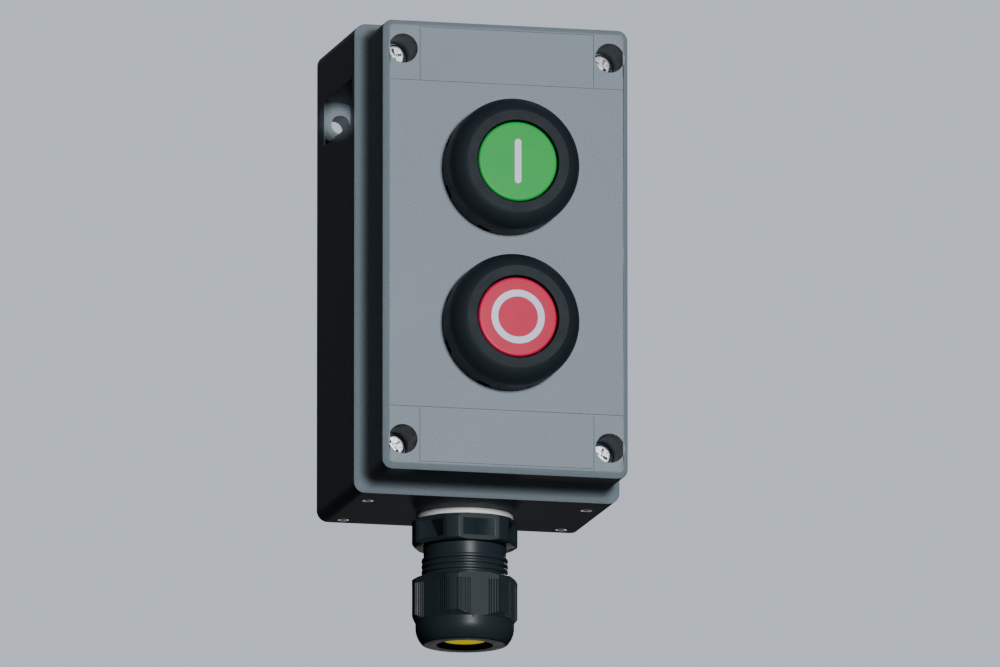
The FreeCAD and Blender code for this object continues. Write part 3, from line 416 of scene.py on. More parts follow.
def edges_of(verts):
    """The edges that join these vertices."""
    chosen = set(verts)
    return list({e for v in verts for e in v.link_edges if e.other_vert(v) in chosen})


def loop(bm, corners, at, radius=0.0, steps=ROUND_STEPS):
    """A closed loop through (x, y) corners at one height, each corner rounded."""
    before_edges, before_faces = set(bm.edges), set(bm.faces)
    points = [bm.verts.new((x, y, at)) for x, y in corners]
    bm.faces.new(points)
    if radius > 0:
        round_corners(bm, points, radius, steps)
    made = [f for f in bm.faces if f not in before_faces]
    bmesh.ops.delete(bm, geom=made, context="FACES_ONLY")
    return [e for e in bm.edges if e not in before_edges]


def block(half_x, half_y):
    """The corners of a rectangle about the origin."""
    return [(-half_x, -half_y), (half_x, -half_y), (half_x, half_y), (-half_x, half_y)]


def ring_of(bm, x, y, radius, at, steps=48):
    """A round loop of edges."""
    made = bmesh.ops.create_circle(bm, cap_ends=False, segments=steps, radius=radius,
                                   matrix=Matrix.Translation((x, y, at)))
    return edges_of(made["verts"])


def raise_walls(bm, edges, forward):
    """Walls rising from a loop; gives the loop at their top."""
    made = bmesh.ops.extrude_edge_only(bm, edges=edges)["geom"]
    verts = [v for v in made if isinstance(v, bmesh.types.BMVert)]
    bmesh.ops.translate(bm, verts=verts, vec=(0, 0, forward))
    return edges_of(verts)


def join(bm, *loops):
    """Walls between each loop and the next."""
    for first, second in zip(loops, loops[1:]):
        bmesh.ops.bridge_loops(bm, edges=first + second)


def fill(bm, *loops):
    """A flat face bounded by the loops; a loop inside another is a hole."""
    edges = [e for one in loops for e in one]
    bmesh.ops.triangle_fill(bm, use_beauty=True, use_dissolve=False, edges=edges)


print("loop helpers ready")

# %% [markdown]
# ## Turning on a lathe
#
# Round pieces are turned: half of their section, spun once about the z axis. A full spin meets its
# own start, so it is told to merge there. The section is drawn as corners with a rounding each, and
# each rounded corner is again a bevelled vertex.

# %% Lathe helper
LATHE_STEPS = 128


def section(bm, corners, steps=4):
    """A closed section of (radius, height) or (radius, height, rounding) corners."""
    points = [bm.verts.new((corner[0], 0, corner[1])) for corner in corners]
    bm.faces.new(points)
    for point, corner in zip(points, corners):
        if len(corner) > 2:
            round_corners(bm, [point], corner[2], steps)
    bmesh.ops.delete(bm, geom=list(bm.faces), context="FACES_ONLY")


def turn_piece(bm, corners, steps=LATHE_STEPS, round_steps=4):
    """Spins a closed section into a solid of revolution."""
    section(bm, corners, round_steps)
    bmesh.ops.spin(bm, geom=bm.verts[:] + bm.edges[:], cent=(0, 0, 0), axis=(0, 0, 1),
                   angle=math.tau, steps=steps, use_merge=True)
    on_axis = [v for v in bm.verts if math.hypot(v.co.x, v.co.y) < TINY]
    bmesh.ops.remove_doubles(bm, verts=on_axis, dist=SAME_PLACE)
    loose = [e for e in bm.edges if not e.link_faces]
    bmesh.ops.delete(bm, geom=loose, context="EDGES")


def arc(centre_x, centre_y, radius, start, end, count):
    """Points along an arc, with angles in degrees."""
    angles = [math.radians(start + (end - start) * i / count) for i in range(count + 1)]
    return [(centre_x + radius * math.cos(a), centre_y + radius * math.sin(a)) for a in angles]


print("lathe ready,", LATHE_STEPS, "steps a turn")

# %% [markdown]
# ## Finishing a piece
#
# Every piece ends the same way: doubles are merged, normals point outwards, it is shaded smooth
# with its real edges kept sharp, and its big flat faces are given the say over the shading so that
# small roundings don't smear across them. Then it is hung on the body it moves with, given the
# finish it wears, and the CAD nodes it stands for are hidden.

# %% Finishing helpers
SHARP_FROM = math.radians(34)


def finish_piece(bm, name, body, slot_name, stands_for, place, clean=SAME_PLACE):
    """Turns a drawing in millimetres into a piece of the station."""
    bmesh.ops.remove_doubles(bm, verts=bm.verts, dist=clean)
    bmesh.ops.dissolve_degenerate(bm, edges=bm.edges, dist=TINY)
    bmesh.ops.recalc_face_normals(bm, faces=bm.faces)
    open_edges = sum(1 for e in bm.edges if len(e.link_faces) != 2)
    bmesh.ops.transform(bm, matrix=place, verts=bm.verts)
    for face in bm.faces:
        face.smooth = True
    for edge in bm.edges:
        edge.smooth = edge.calc_face_angle(0.0) < SHARP_FROM
    mesh = bpy.data.meshes.new(name)
    bm.to_mesh(mesh)
    bm.free()
    piece = bpy.data.objects.new(name, mesh)
    bpy.context.scene.collection.objects.link(piece)
    mesh.materials.append(FINISH[slot_name])
    weighted = piece.modifiers.new("flat_faces_lead", "WEIGHTED_NORMAL")
    weighted.keep_sharp = True
    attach(piece, body)
    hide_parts(*stands_for)
    triangles = sum(len(p.vertices) - 2 for p in mesh.polygons)
    print("%-20s %6d triangles, %d open edges" % (name, triangles, open_edges))
    return piece


def add_to(group, bm):
    """Moves one of several like solids into the drawing that holds them all."""
    one = bpy.data.meshes.new("one_of_several")
    bm.to_mesh(one)
    bm.free()
    group.from_mesh(one)
    bpy.data.meshes.remove(one)


print("finishing helpers ready")

# %% [markdown]
# ## The front cover
#
# The cover is the face of the station. From the joint line it rises as a low rim, sweeps inwards in
# a hollow flare, stands up as a wall and ends in a chamfer round the flat face. Each of those is a
# rounded rectangle at its own height, with its own inset and corner radius, so the side is a stack of
# loops joined by walls. A corner that a finger would feel gets two loops a fraction of a
# millimetre apart, which is how a small rounding is made without bevelling.

# %% Cover sizes
RIM_HIGH = 3.3
FLARE_IN, FLARE_UP = 3.1, 6.5
EDGE_ROUND, SHOULDER_ROUND = 3.3, 2.9
CHAMFER_IN, CHAMFER_UP = 1.65, 1.75
SOFT, ROUND_MIDDLE = 0.2, 0.3
FLARE_STEPS, CORNER_STEPS = 12, 8
COVER_WALL, COVER_FRONT, SIDE_WALL = 2.8, 3.0, 3.0
CAVITY_ROUND, CAVITY_STEPS = 0.8, 3
POST_IN, POST_DOWN, LUG_STEP_UP = 15.0, 18.3, 38.35
WELL_RADIUS, WELL_DEEP, SCREW_HOLE = 4.3, 15.4, 2.2
PANEL_HOLE, HEAD_RADIUS = 11.15, 3.5

screw_high = cad("cover_screws")[1]
screw_x, screw_y = screw_high[0] - HEAD_RADIUS, screw_high[2] - HEAD_RADIUS
CORNERS = [(sx * screw_x, sy * screw_y) for sx in (-1, 1) for sy in (-1, 1)]
well_floor = front - WELL_DEEP
print("screws at +-%.1f, +-%.1f mm" % (screw_x, screw_y))


# %% Outside of the cover
def cover_side():
    """(inset, height, corner radius) of each loop up the outside."""
    flare_low = base_deep + RIM_HIGH
    radius = (FLARE_IN ** 2 + FLARE_UP ** 2) / (2 * FLARE_IN)
    rows = [(SOFT, base_deep, EDGE_ROUND - SOFT), (0, base_deep + SOFT, EDGE_ROUND)]
    rows.append((0, flare_low - SOFT, EDGE_ROUND))
    for step in range(1, FLARE_STEPS + 1):
        left = FLARE_UP * (1 - step / FLARE_STEPS)
        moved = FLARE_IN - radius + math.sqrt(radius ** 2 - left ** 2)
        corner = EDGE_ROUND + (SHOULDER_ROUND - EDGE_ROUND) * moved / FLARE_IN
        rows.append((moved, flare_low + FLARE_UP - left, corner))
    run = math.hypot(CHAMFER_IN, CHAMFER_UP)
    slope_in, slope_up = CHAMFER_IN / run * SOFT, CHAMFER_UP / run * SOFT
    rows.append((FLARE_IN, front - CHAMFER_UP - SOFT, SHOULDER_ROUND))
    rows.append((FLARE_IN + slope_in, front - CHAMFER_UP + slope_up, SHOULDER_ROUND - slope_in))
    face_in, face_round = FLARE_IN + CHAMFER_IN, SHOULDER_ROUND - CHAMFER_IN
    rows.append((face_in - slope_in, front - slope_up, face_round + slope_in))
    rows.append((face_in + SOFT, front, face_round - SOFT))
    return rows


def hollow(side, grow=0.0):
    """Corners of the hollow: a rectangle stepped in at the screw posts and the wall lugs."""
    x, y = half_wide - side + grow, half_high - side + grow
    step, plain, lug = half_wide - POST_IN + grow, half_high - POST_DOWN + grow, LUG_STEP_UP + grow
    return [
        (x, plain), (step, plain), (step, y), (-step, y), (-step, lug), (-x, lug),
        (-x, -plain), (-step, -plain), (-step, -y), (step, -y), (step, -lug), (x, -lug),
    ]


def soft_hole(bm, x, y, radius, at):
    """A round hole's rim with a small rounding; gives the loop on the face and the one in the hole."""
    outer = ring_of(bm, x, y, radius + SOFT, at)
    middle = ring_of(bm, x, y, radius + SOFT * ROUND_MIDDLE, at - SOFT * ROUND_MIDDLE)
    inner = ring_of(bm, x, y, radius, at - SOFT)
    join(bm, outer, middle, inner)
    return outer, inner


print(len(cover_side()), "loops up the side of the cover")

# %% [markdown]
# Two fine lines run across the face, above and below the buttons, and each carries the outline of a
# blank field for a label. They are cut half a millimetre deep. A line and its field make one closed
# outline with an island in it, so the groove is that outline sunk into the face.

# %% Engraved lines
GROOVE_WIDE, GROOVE_DEEP, LABEL_LINE = 0.6, 0.5, 0.3
GROOVE_UP, LABEL_X, LABEL_TOP = 48.6, 26.15, 64.7
GROOVE_END = 35.0


def engraved(bm, way):
    """The groove and label field above (way 1) or below (way -1) the buttons."""
    low, high = GROOVE_UP - GROOVE_WIDE / 2, GROOVE_UP + GROOVE_WIDE / 2
    out, within = LABEL_X + LABEL_LINE / 2, LABEL_X - LABEL_LINE / 2
    top, under = LABEL_TOP + LABEL_LINE / 2, LABEL_TOP - LABEL_LINE / 2
    outside = [(-GROOVE_END, low), (GROOVE_END, low), (GROOVE_END, high), (out, high), (out, top),
               (-out, top), (-out, high), (-GROOVE_END, high)]
    island = [(-within, high), (within, high), (within, under), (-within, under)]
    rims = [loop(bm, [(x, y * way) for x, y in corners], front) for corners in (outside, island)]
    floors = [raise_walls(bm, rim, -GROOVE_DEEP) for rim in rims]
    fill(bm, *floors)
    return rims


print("grooves %.1f mm above and below the middle" % GROOVE_UP)

# %% Build the cover
GASKET_NEAR, GASKET_WIDE, GASKET_DEEP = 0.5, 1.6, 1.6

bm = bmesh.new()
side = [loop(bm, block(half_wide - i, half_high - i), at, r, CORNER_STEPS) for i, at, r in cover_side()]
join(bm, *side)

face_loops = [side[-1]]
joint_loops = [side[0]]
for x, y in CORNERS:
    rim, wall_top = soft_hole(bm, x, y, WELL_RADIUS, front)
    face_loops.append(rim)
    wall_low = raise_walls(bm, wall_top, well_floor - front + SOFT)
    shank_top = ring_of(bm, x, y, SCREW_HOLE, well_floor)
    fill(bm, wall_low, shank_top)
    joint_loops.append(raise_walls(bm, shank_top, base_deep - well_floor))

inner_front = front - COVER_FRONT
panel_backs = []
for up_to in station_up.values():
    rim = ring_of(bm, 0, up_to, PANEL_HOLE, front, 96)
    face_loops.append(rim)
    panel_backs.append(raise_walls(bm, rim, -COVER_FRONT))
for way in (1, -1):
    face_loops.extend(engraved(bm, way))
fill(bm, *face_loops)

cavity_low = loop(bm, hollow(FLARE_IN + COVER_WALL), base_deep, CAVITY_ROUND, CAVITY_STEPS)
cavity_top = raise_walls(bm, cavity_low, inner_front - base_deep)
fill(bm, cavity_top, *panel_backs)

gasket_in = loop(bm, hollow(SIDE_WALL, GASKET_NEAR), base_deep)
gasket_out = loop(bm, hollow(SIDE_WALL, GASKET_NEAR + GASKET_WIDE), base_deep)
groove_tops = [raise_walls(bm, gasket_in, GASKET_DEEP), raise_walls(bm, gasket_out, GASKET_DEEP)]
fill(bm, *groove_tops)
fill(bm, gasket_out, *joint_loops)
fill(bm, cavity_low, gasket_in)
finish_piece(bm, "front_cover_moulding", "cover", "housing_plastic", ["front_cover"], DRAWN_ON_FRONT)

# %% [markdown]
# ## The base housing
#
# The base is a deep tray. Its outside is one rounded rectangle pulled forward from the wall, but
# two of its side walls are let in at a lug, where a wall screw goes through. So it is drawn from
# the lug's height: the plain outline goes back to the wall from there, and the outline with the two
# notches goes forward to the joint.

# %% Base sizes
LUG_THICK, LUG_IN, LUG_HOLE = 9.5, 8.0, 2.75
LUG_LOW, LUG_HIGH = 40.85, 54.35
LUG_HOLE_X, LUG_HOLE_Y = 35.0, 47.6
LUG_ROUND, LUG_STEPS = 2.0, 5
FLOOR_THICK, BACK_SOFT = 3.0, 0.6
INSERT_HOLE, INSERT_DEEP = 2.6, 12.0
ENTRY_HOLE, STUD_RADIUS, STUD_LONG, STUD_X, STUD_SPREAD = 12.65, 1.9, 8.0, 33.0, 15.5
print("lug pockets %.1f to %.1f mm above the middle" % (LUG_LOW, LUG_HIGH))


# %% Base outlines
def base_outline(bm, at):
    """The outside outline of the base, and the two edges where its lug pockets open."""
    x, y = half_wide, half_high
    corners = [(-x, -y), (x, -y), (x, -LUG_HIGH), (x, -LUG_LOW),
               (x, y), (-x, y), (-x, LUG_HIGH), (-x, LUG_LOW)]
    before_edges, before_faces = set(bm.edges), set(bm.faces)
    points = [bm.verts.new((cx, cy, at)) for cx, cy in corners]
    bm.faces.new(points)
    outer_four = [points[0], points[1], points[4], points[5]]
    round_corners(bm, outer_four, EDGE_ROUND, CORNER_STEPS)
    made = [f for f in bm.faces if f not in before_faces]
    bmesh.ops.delete(bm, geom=made, context="FACES_ONLY")
    edges = [e for e in bm.edges if e not in before_edges]
    mouths = [e for e in edges if all(abs(abs(v.co.x) - x) < CLOSE and
              LUG_LOW - CLOSE <= abs(v.co.y) <= LUG_HIGH + CLOSE for v in e.verts)]
    return edges, mouths


print("base outline ready")

# %% Build the base
bm = bmesh.new()
outline_edges, mouths = base_outline(bm, LUG_THICK)
plain_edges = [e for e in outline_edges if e not in mouths]
notch_edges, back_holes = [], []
for mouth in mouths:
    inward = -1 if mouth.verts[0].co.x > 0 else 1
    made = bmesh.ops.extrude_edge_only(bm, edges=[mouth])["geom"]
    inner = [v for v in made if isinstance(v, bmesh.types.BMVert)]
    bmesh.ops.translate(bm, verts=inner, vec=(inward * LUG_IN, 0, 0))
    round_corners(bm, inner, LUG_ROUND, LUG_STEPS)
    lug_face = mouth.link_faces[0]
    notch = [e for e in lug_face.edges if e is not mouth]
    bmesh.ops.delete(bm, geom=[lug_face], context="FACES_ONLY")
    notch_edges.extend(notch)
    hole = ring_of(bm, -inward * LUG_HOLE_X, inward * LUG_HOLE_Y, LUG_HOLE, LUG_THICK)
    fill(bm, notch + [mouth], hole)
    back_holes.append(raise_walls(bm, hole, -LUG_THICK))

joint_outline = raise_walls(bm, plain_edges + notch_edges, base_deep - LUG_THICK)
back_edge = raise_walls(bm, outline_edges, BACK_SOFT - LUG_THICK)
for inset, at in ((BACK_SOFT * ROUND_MIDDLE, BACK_SOFT * ROUND_MIDDLE), (BACK_SOFT, 0.0)):
    here = back_edge[0].verts[0].co.z
    back_edge = raise_walls(bm, back_edge, at - here)
    verts = list({v for e in back_edge for v in e.verts})
    reach = max(abs(v.co.x) for v in verts), max(abs(v.co.y) for v in verts)
    shrink = ((half_wide - inset) / reach[0], (half_high - inset) / reach[1], 1)
    bmesh.ops.scale(bm, verts=verts, vec=shrink)
fill(bm, back_edge, *back_holes)

cavity_mouth = loop(bm, hollow(SIDE_WALL), base_deep, CAVITY_ROUND, CAVITY_STEPS)
cavity_floor = raise_walls(bm, cavity_mouth, FLOOR_THICK - base_deep)
fill(bm, cavity_floor)
insert_mouths = [ring_of(bm, x, y, INSERT_HOLE, base_deep, 32) for x, y in CORNERS]
for mouth in insert_mouths:
    fill(bm, raise_walls(bm, list(mouth), -INSERT_DEEP))
fill(bm, joint_outline, cavity_mouth, *insert_mouths)
print(len(bm.faces), "faces before the bottom holes")

# %% [markdown]
# The cable gland and four small metal inserts sit in the bottom wall. A hole in a finished wall is
# made by taking the flat face away and filling its outline again with the hole's ring inside it.

# %% Holes in the bottom wall
def open_wall(bm, y):
    """Takes away the flat wall at this height of the drawing; gives its outline."""
    wall = [f for f in bm.faces
            if all(abs(v.co.y - y) < SAME_PLACE for v in f.verts) and abs(f.normal.y) > 0.9]
    wall_set = set(wall)
    rim = [e for f in wall for e in f.edges if sum(1 for g in e.link_faces if g in wall_set) == 1]
    bmesh.ops.delete(bm, geom=wall, context="FACES")
    return [e for e in rim if e.is_valid]


def ring_in_wall(bm, x, y, forward, radius, steps=64):
    """A ring lying in the bottom wall."""
    stand = Matrix.Translation((x, y, forward)) @ Matrix.Rotation(math.radians(90), 4, "X")
    made = bmesh.ops.create_circle(bm, cap_ends=False, segments=steps, radius=radius, matrix=stand)
    return edges_of(made["verts"])


def push_up(bm, edges, y):
    """Walls rising from a ring in the bottom wall."""
    made = bmesh.ops.extrude_edge_only(bm, edges=edges)["geom"]
    verts = [v for v in made if isinstance(v, bmesh.types.BMVert)]
    bmesh.ops.translate(bm, verts=verts, vec=(0, y, 0))
    return edges_of(verts)


print("bottom wall helpers ready")

# %% Cut the bottom wall
bm.normal_update()
outside_rim = open_wall(bm, -half_high)
inside_rim = open_wall(bm, SIDE_WALL - half_high)
entry = ring_in_wall(bm, 0, -half_high, gland_forward, ENTRY_HOLE, 96)
entry_top = push_up(bm, entry, SIDE_WALL)
studs = []
for x in (-STUD_X, STUD_X):
    for forward in (gland_forward - STUD_SPREAD, gland_forward + STUD_SPREAD):
        stud = ring_in_wall(bm, x, -half_high, forward, STUD_RADIUS, 32)
        studs.append(stud)
        fill(bm, push_up(bm, list(stud), STUD_LONG))
fill(bm, outside_rim, entry, *studs)
fill(bm, inside_rim, entry_top)
finish_piece(bm, "base_housing_moulding", "housing", "housing_plastic", ["base_housing"], DRAWN_ON_FRONT)

# %% [markdown]
# ## The bezel rings
#
# Each button sits in a round bezel: a straight skirt with eight grip notches at its foot, a shoulder
# that curves in, and a narrow flat ring round the button. It is turned in one go. For a notch, the
# skirt's faces are taken away in one short sector, the edge left at its foot is pulled up to make the
# notch's back wall, and the gaps above and at the sides are closed.

# %% Bezel sizes
RING_OUT, RING_FLAT, RING_BORE = 19.5, 15.2, 12.15
RING_HIGH, SKIRT_HIGH = 14.6, 9.0
RING_STEP, RING_SEAT = 14.5, 3.2
RING_EDGE, SHOULDER_STEPS = 0.3, 16
NOTCH_DEEP, NOTCH_HIGH, NOTCHES, NOTCH_HALF_STEPS = 0.55, 3.0, 8, 2
NOTCH_HALF_ANGLE = 360.0 / LATHE_STEPS * NOTCH_HALF_STEPS
NUDGE = 0.01


def bezel_section():
    """Half of the bezel's section, from the foot over the shoulder to the bore."""
    across, rise = RING_OUT - RING_FLAT, RING_HIGH - SKIRT_HIGH
    radius = (across ** 2 + rise ** 2) / (2 * across)
    end = math.degrees(math.atan2(rise, radius - across))
    shoulder = arc(RING_OUT - radius, SKIRT_HIGH, radius, 0, end, SHOULDER_STEPS)
    return ([(RING_STEP, 0), (RING_OUT - NOTCH_DEEP, 0), (RING_OUT, 0), (RING_OUT, NOTCH_HIGH)] + shoulder
            + [(RING_BORE, RING_HIGH, RING_EDGE), (RING_BORE, RING_SEAT), (RING_STEP, RING_SEAT)])


print("bezel %.1f mm across, %.1f mm high" % (RING_OUT * 2, RING_HIGH))


# %% Grip notches
def notch_number(point):
    """Which notch a point belongs to, or None."""
    pitch = 360.0 / NOTCHES
    degrees = math.degrees(math.atan2(point.y, point.x)) % 360
    number = int(degrees // pitch)
    near = abs(degrees - (number + 0.5) * pitch) < NOTCH_HALF_ANGLE + NUDGE
    return number if near else None


def near_ring(vert, radius, height):
    """True where a vertex lies on this circle."""
    return abs(math.hypot(vert.co.x, vert.co.y) - radius) < CLOSE and abs(vert.co.z - height) < CLOSE


def cut_notches(bm):
    """Lets the grip notches into the foot of the skirt."""
    foot = RING_OUT - NOTCH_DEEP
    cut = []
    for face in bm.faces:
        middle = face.calc_center_median()
        outside = math.hypot(middle.x, middle.y) > foot + NUDGE
        if outside and middle.z < NOTCH_HIGH - NUDGE and notch_number(middle) is not None:
            cut.append(face)
    bmesh.ops.delete(bm, geom=cut, context="FACES")
    for number in range(NOTCHES):
        rim = [e for e in bm.edges if e.is_boundary
               and notch_number((e.verts[0].co + e.verts[1].co) / 2) == number]
        low = [e for e in rim if all(near_ring(v, foot, 0) for v in e.verts)]
        top = [e for e in rim if all(near_ring(v, RING_OUT, NOTCH_HIGH) for v in e.verts)]
        lifted = raise_walls(bm, low, NOTCH_HIGH)
        bmesh.ops.bridge_loops(bm, edges=lifted + top)
    gaps = [e for e in bm.edges if e.is_boundary]
    bmesh.ops.holes_fill(bm, edges=gaps, sides=4)


print(NOTCHES, "notches, %.2f mm deep" % NOTCH_DEEP)

# %% [markdown]
# The edge where the shoulder meets the flat ring is crisp on the real bezel, but too blunt for the
# angle rule to find it, so it is marked as sharp by its place.

# %% Build the bezel rings
def keep_crisp(ring, centre):
    """Marks the edge round the flat ring as sharp."""
    for edge in ring.data.edges:
        points = [ring.data.vertices[i].co / MM for i in edge.vertices]
        if all(abs(-p.y - front - RING_HIGH) < CLOSE
               and abs(math.hypot(p.x, p.z - centre) - RING_FLAT) < NUDGE for p in points):
            edge.use_edge_sharp = True


for prefix, centre in station_up.items():
    bm = bmesh.new()
    turn_piece(bm, bezel_section())
    cut_notches(bm)
    ring = finish_piece(bm, prefix + "_bezel_turned", "cover", "bezel_plastic", [prefix + "_bezel_ring"],
                        on_front(0, centre, front))
    keep_crisp(ring, centre)

# %% [markdown]
# ## Caps and symbols
#
# The caps are turned too, but their flat face is taken off again and filled with the symbol's
# outline as a hole, so that the pale inlay really sits in the cap and stands a hair proud of it.
# The on button has a bar with round ends, the off button a ring.

# %% Cap and symbol sizes
CAP_RADIUS, CAP_FACE, CAP_UNDER, CAP_SKIRT_END = 11.8, 13.95, 9.55, 6.95
CAP_WALL, CAP_ROUND, CAP_STEPS = 1.1, 0.7, 6
INLAY_DEEP, INLAY_PROUD, INLAY_GAP = 0.5, 0.15, 0.02
BAR_WIDE, BAR_HIGH, BAR_ROUND, BAR_STEPS = 2.07, 13.3, 0.99, 10
LETTER_OUT, LETTER_IN, LETTER_STEPS = 8.03, 5.95, 96


def symbol_loops(bm, prefix, at, grow=0.0):
    """The outlines of the symbol at one height."""
    if prefix == "on":
        half_bar = BAR_WIDE / 2 + grow
        corners = block(half_bar, BAR_HIGH / 2 + grow)
        return [loop(bm, corners, at, half_bar * BAR_ROUND, BAR_STEPS)]
    return [ring_of(bm, 0, 0, radius, at, LETTER_STEPS) for radius in (LETTER_OUT + grow, LETTER_IN - grow)]


def open_top(bm, height):
    """Takes a round piece's flat top away; gives the edge round it."""
    top = [f for f in bm.faces if all(abs(v.co.z - height) < SAME_PLACE for v in f.verts)]
    bmesh.ops.delete(bm, geom=top, context="FACES")
    return [e for e in bm.edges if e.is_boundary]


print("caps %.1f mm across, standing %.2f mm out" % (CAP_RADIUS * 2, CAP_FACE))

# %% Build the caps and symbols
for prefix, centre in station_up.items():
    colour = {"on": "green_cap", "off": "red_cap"}[prefix]
    bm = bmesh.new()
    within = CAP_RADIUS - CAP_WALL
    turn_piece(bm, [(0, CAP_UNDER), (within, CAP_UNDER), (within, CAP_SKIRT_END), (CAP_RADIUS, CAP_SKIRT_END),
                    (CAP_RADIUS, CAP_FACE, CAP_ROUND), (0, CAP_FACE)], round_steps=CAP_STEPS)
    top_edge = open_top(bm, CAP_FACE)
    recess = symbol_loops(bm, prefix, CAP_FACE, INLAY_GAP)
    fill(bm, top_edge, *recess)
    fill(bm, *[raise_walls(bm, list(one), -INLAY_DEEP) for one in recess])
    finish_piece(bm, prefix + "_cap_turned", "button_" + prefix, colour, [prefix + "_button_cap"],
                 on_front(0, centre, front))

    bm = bmesh.new()
    foot = symbol_loops(bm, prefix, CAP_FACE - INLAY_DEEP)
    shoulder = [raise_walls(bm, list(one), INLAY_DEEP + INLAY_PROUD / 2) for one in foot]
    crown = symbol_loops(bm, prefix, CAP_FACE + INLAY_PROUD, -INLAY_PROUD / 2)
    for low_loop, high_loop in zip(shoulder, crown):
        join(bm, low_loop, high_loop)
    fill(bm, *foot)
    fill(bm, *crown)
    finish_piece(bm, prefix + "_symbol_inlay", "button_" + prefix, "symbol_inlay", [prefix + "_symbol"],
                 on_front(0, centre, front))

# %% [markdown]
# ## Cover screws
#
# Four plated screws sit deep in their wells. Each has a pan head with a rounded edge, a cross
# recess that narrows as it goes down, a plain shank, and a thread that shows when the cover is off.
# The heads are never left in the same turn by a real screwdriver, so each has its own.

# %% Screw sizes
HEAD_LOW, HEAD_HIGH, SHANK_RADIUS, SHANK_END = 57.8, 60.6, 2.0, 37.0
HEAD_UNDER_ROUND, HEAD_TOP_ROUND, TIP_CHAMFER, SCREW_STEPS = 0.2, 0.7, 0.5, 64
THREAD_PITCH, THREAD_DEEP, THREAD_TURNS = 0.7, 0.3, 14
CROSS_REACH, CROSS_HALF, CROSS_DEEP, CROSS_TAPER = 2.3, 0.42, 1.5, 0.55
SCREW_TURNS = (38, 12, -24, 51)


def screw_section():
    """Half of a screw's section, from the tip over the thread to the top of the head."""
    thread = []
    for number in range(THREAD_TURNS):
        at = SHANK_END + TIP_CHAMFER + number * THREAD_PITCH
        thread.append((SHANK_RADIUS - THREAD_DEEP, at))
        thread.append((SHANK_RADIUS, at + THREAD_PITCH / 2))
    return ([(0, SHANK_END), (SHANK_RADIUS - TIP_CHAMFER, SHANK_END)] + thread
            + [(SHANK_RADIUS, HEAD_LOW), (HEAD_RADIUS, HEAD_LOW, HEAD_UNDER_ROUND),
               (HEAD_RADIUS, HEAD_HIGH, HEAD_TOP_ROUND), (0, HEAD_HIGH)])


def cross_corners():
    """The twelve corners of a cross recess."""
    reach, half = CROSS_REACH, CROSS_HALF
    arm = [(reach, -half), (reach, half), (half, half)]
    corners = []
    for quarter in range(4):
        c, s = round(math.cos(quarter * math.pi / 2)), round(math.sin(quarter * math.pi / 2))
        corners += [(x * c - y * s, x * s + y * c) for x, y in arm]
    return corners


print("screws %.1f mm long" % (HEAD_HIGH - SHANK_END))

# %% Build the screws
screws = bmesh.new()
for (x, y), degrees in zip(CORNERS, SCREW_TURNS):
    bm = bmesh.new()
    turn_piece(bm, screw_section(), SCREW_STEPS)
    head_edge = open_top(bm, HEAD_HIGH)
    cross = loop(bm, cross_corners(), HEAD_HIGH)
    fill(bm, head_edge, cross)
    recess = raise_walls(bm, list(cross), -CROSS_DEEP)
    recess_verts = list({v for e in recess for v in e.verts})
    bmesh.ops.scale(bm, verts=recess_verts, vec=(CROSS_TAPER, CROSS_TAPER, 1))
    fill(bm, recess)
    turned = Matrix.Rotation(math.radians(degrees), 4, "Z")
    bmesh.ops.transform(bm, verts=bm.verts, matrix=Matrix.Translation((x, y, 0)) @ turned)
    add_to(screws, bm)
finish_piece(screws, "cover_screws_turned", "cover", "bright_steel", ["cover_screws"], DRAWN_ON_FRONT)

# %% [markdown]
# ## Metal inserts in the bottom
#
# Four small bright discs show in the bottom wall. They are the ends of pressed-in metal
# inserts, with a shallow dish in the middle and a softened rim.

# %% Bottom inserts
DISH_DEEP, DISH_FLAT, DISH_RIM, STUD_SOFT, STUD_STEPS = 0.25, 0.8, 1.15, 0.2, 48

bottom = -half_high
stud_section = [(0, bottom + DISH_DEEP), (DISH_FLAT, bottom + DISH_DEEP), (DISH_RIM, bottom),
                (STUD_RADIUS, bottom, STUD_SOFT), (STUD_RADIUS, bottom + STUD_LONG), (0, bottom + STUD_LONG)]
inserts = bmesh.new()
for x in (-STUD_X, STUD_X):
    for y in (-STUD_SPREAD, STUD_SPREAD):
        bm = bmesh.new()
        turn_piece(bm, stud_section, STUD_STEPS)
        bmesh.ops.translate(bm, verts=bm.verts, vec=(x, y, 0))
        add_to(inserts, bm)
finish_piece(inserts, "bottom_inserts_turned", "housing", "bright_steel", ["bottom_inserts"], HANGING)

# %% [markdown]
# ## The cable gland
#
# The gland is a hexagonal body with a threaded neck and a domed nut that squeezes a seal. A
# hexagon with chamfered corners is a round bar that has been milled, and it is made that way here: a
# section is turned with many steps, and then each vertex of the bar is pulled in to the milled
# surface. The same idea cuts the V-shaped pockets in the body's flats and the grip ribs of the nut.

# %% Milling helper
BAR = 16.0
FLAT_REACH, CORNER_REACH, HEX_TURN = 14.5, 15.75, 3.5
MILL_STEPS = 720


def from_flat(x, y):
    """The angle in degrees from the middle of the nearest flat."""
    degrees = math.degrees(math.atan2(y, x)) + 90 - HEX_TURN
    return (degrees + 30) % 60 - 30


def mill(bm, rule):
    """Pulls the bar's vertices in to the radius that the rule gives for an angle and height."""
    for vert in bm.verts:
        radius = math.hypot(vert.co.x, vert.co.y)
        if radius > BAR - CLOSE:
            new = rule(from_flat(vert.co.x, vert.co.y), vert.co.z)
            vert.co.x *= new / radius
            vert.co.y *= new / radius


def hexagon(degrees):
    """The radius of the chamfered hexagon at an angle from the middle of a flat."""
    return min(FLAT_REACH / math.cos(math.radians(degrees)), CORNER_REACH)


def levels(top, bottom_end, count):
    """Heights going down from top."""
    return [top + (bottom_end - top) * i / count for i in range(count + 1)]


print("milled from a bar %.0f mm across, in %d steps" % (BAR * 2, MILL_STEPS))

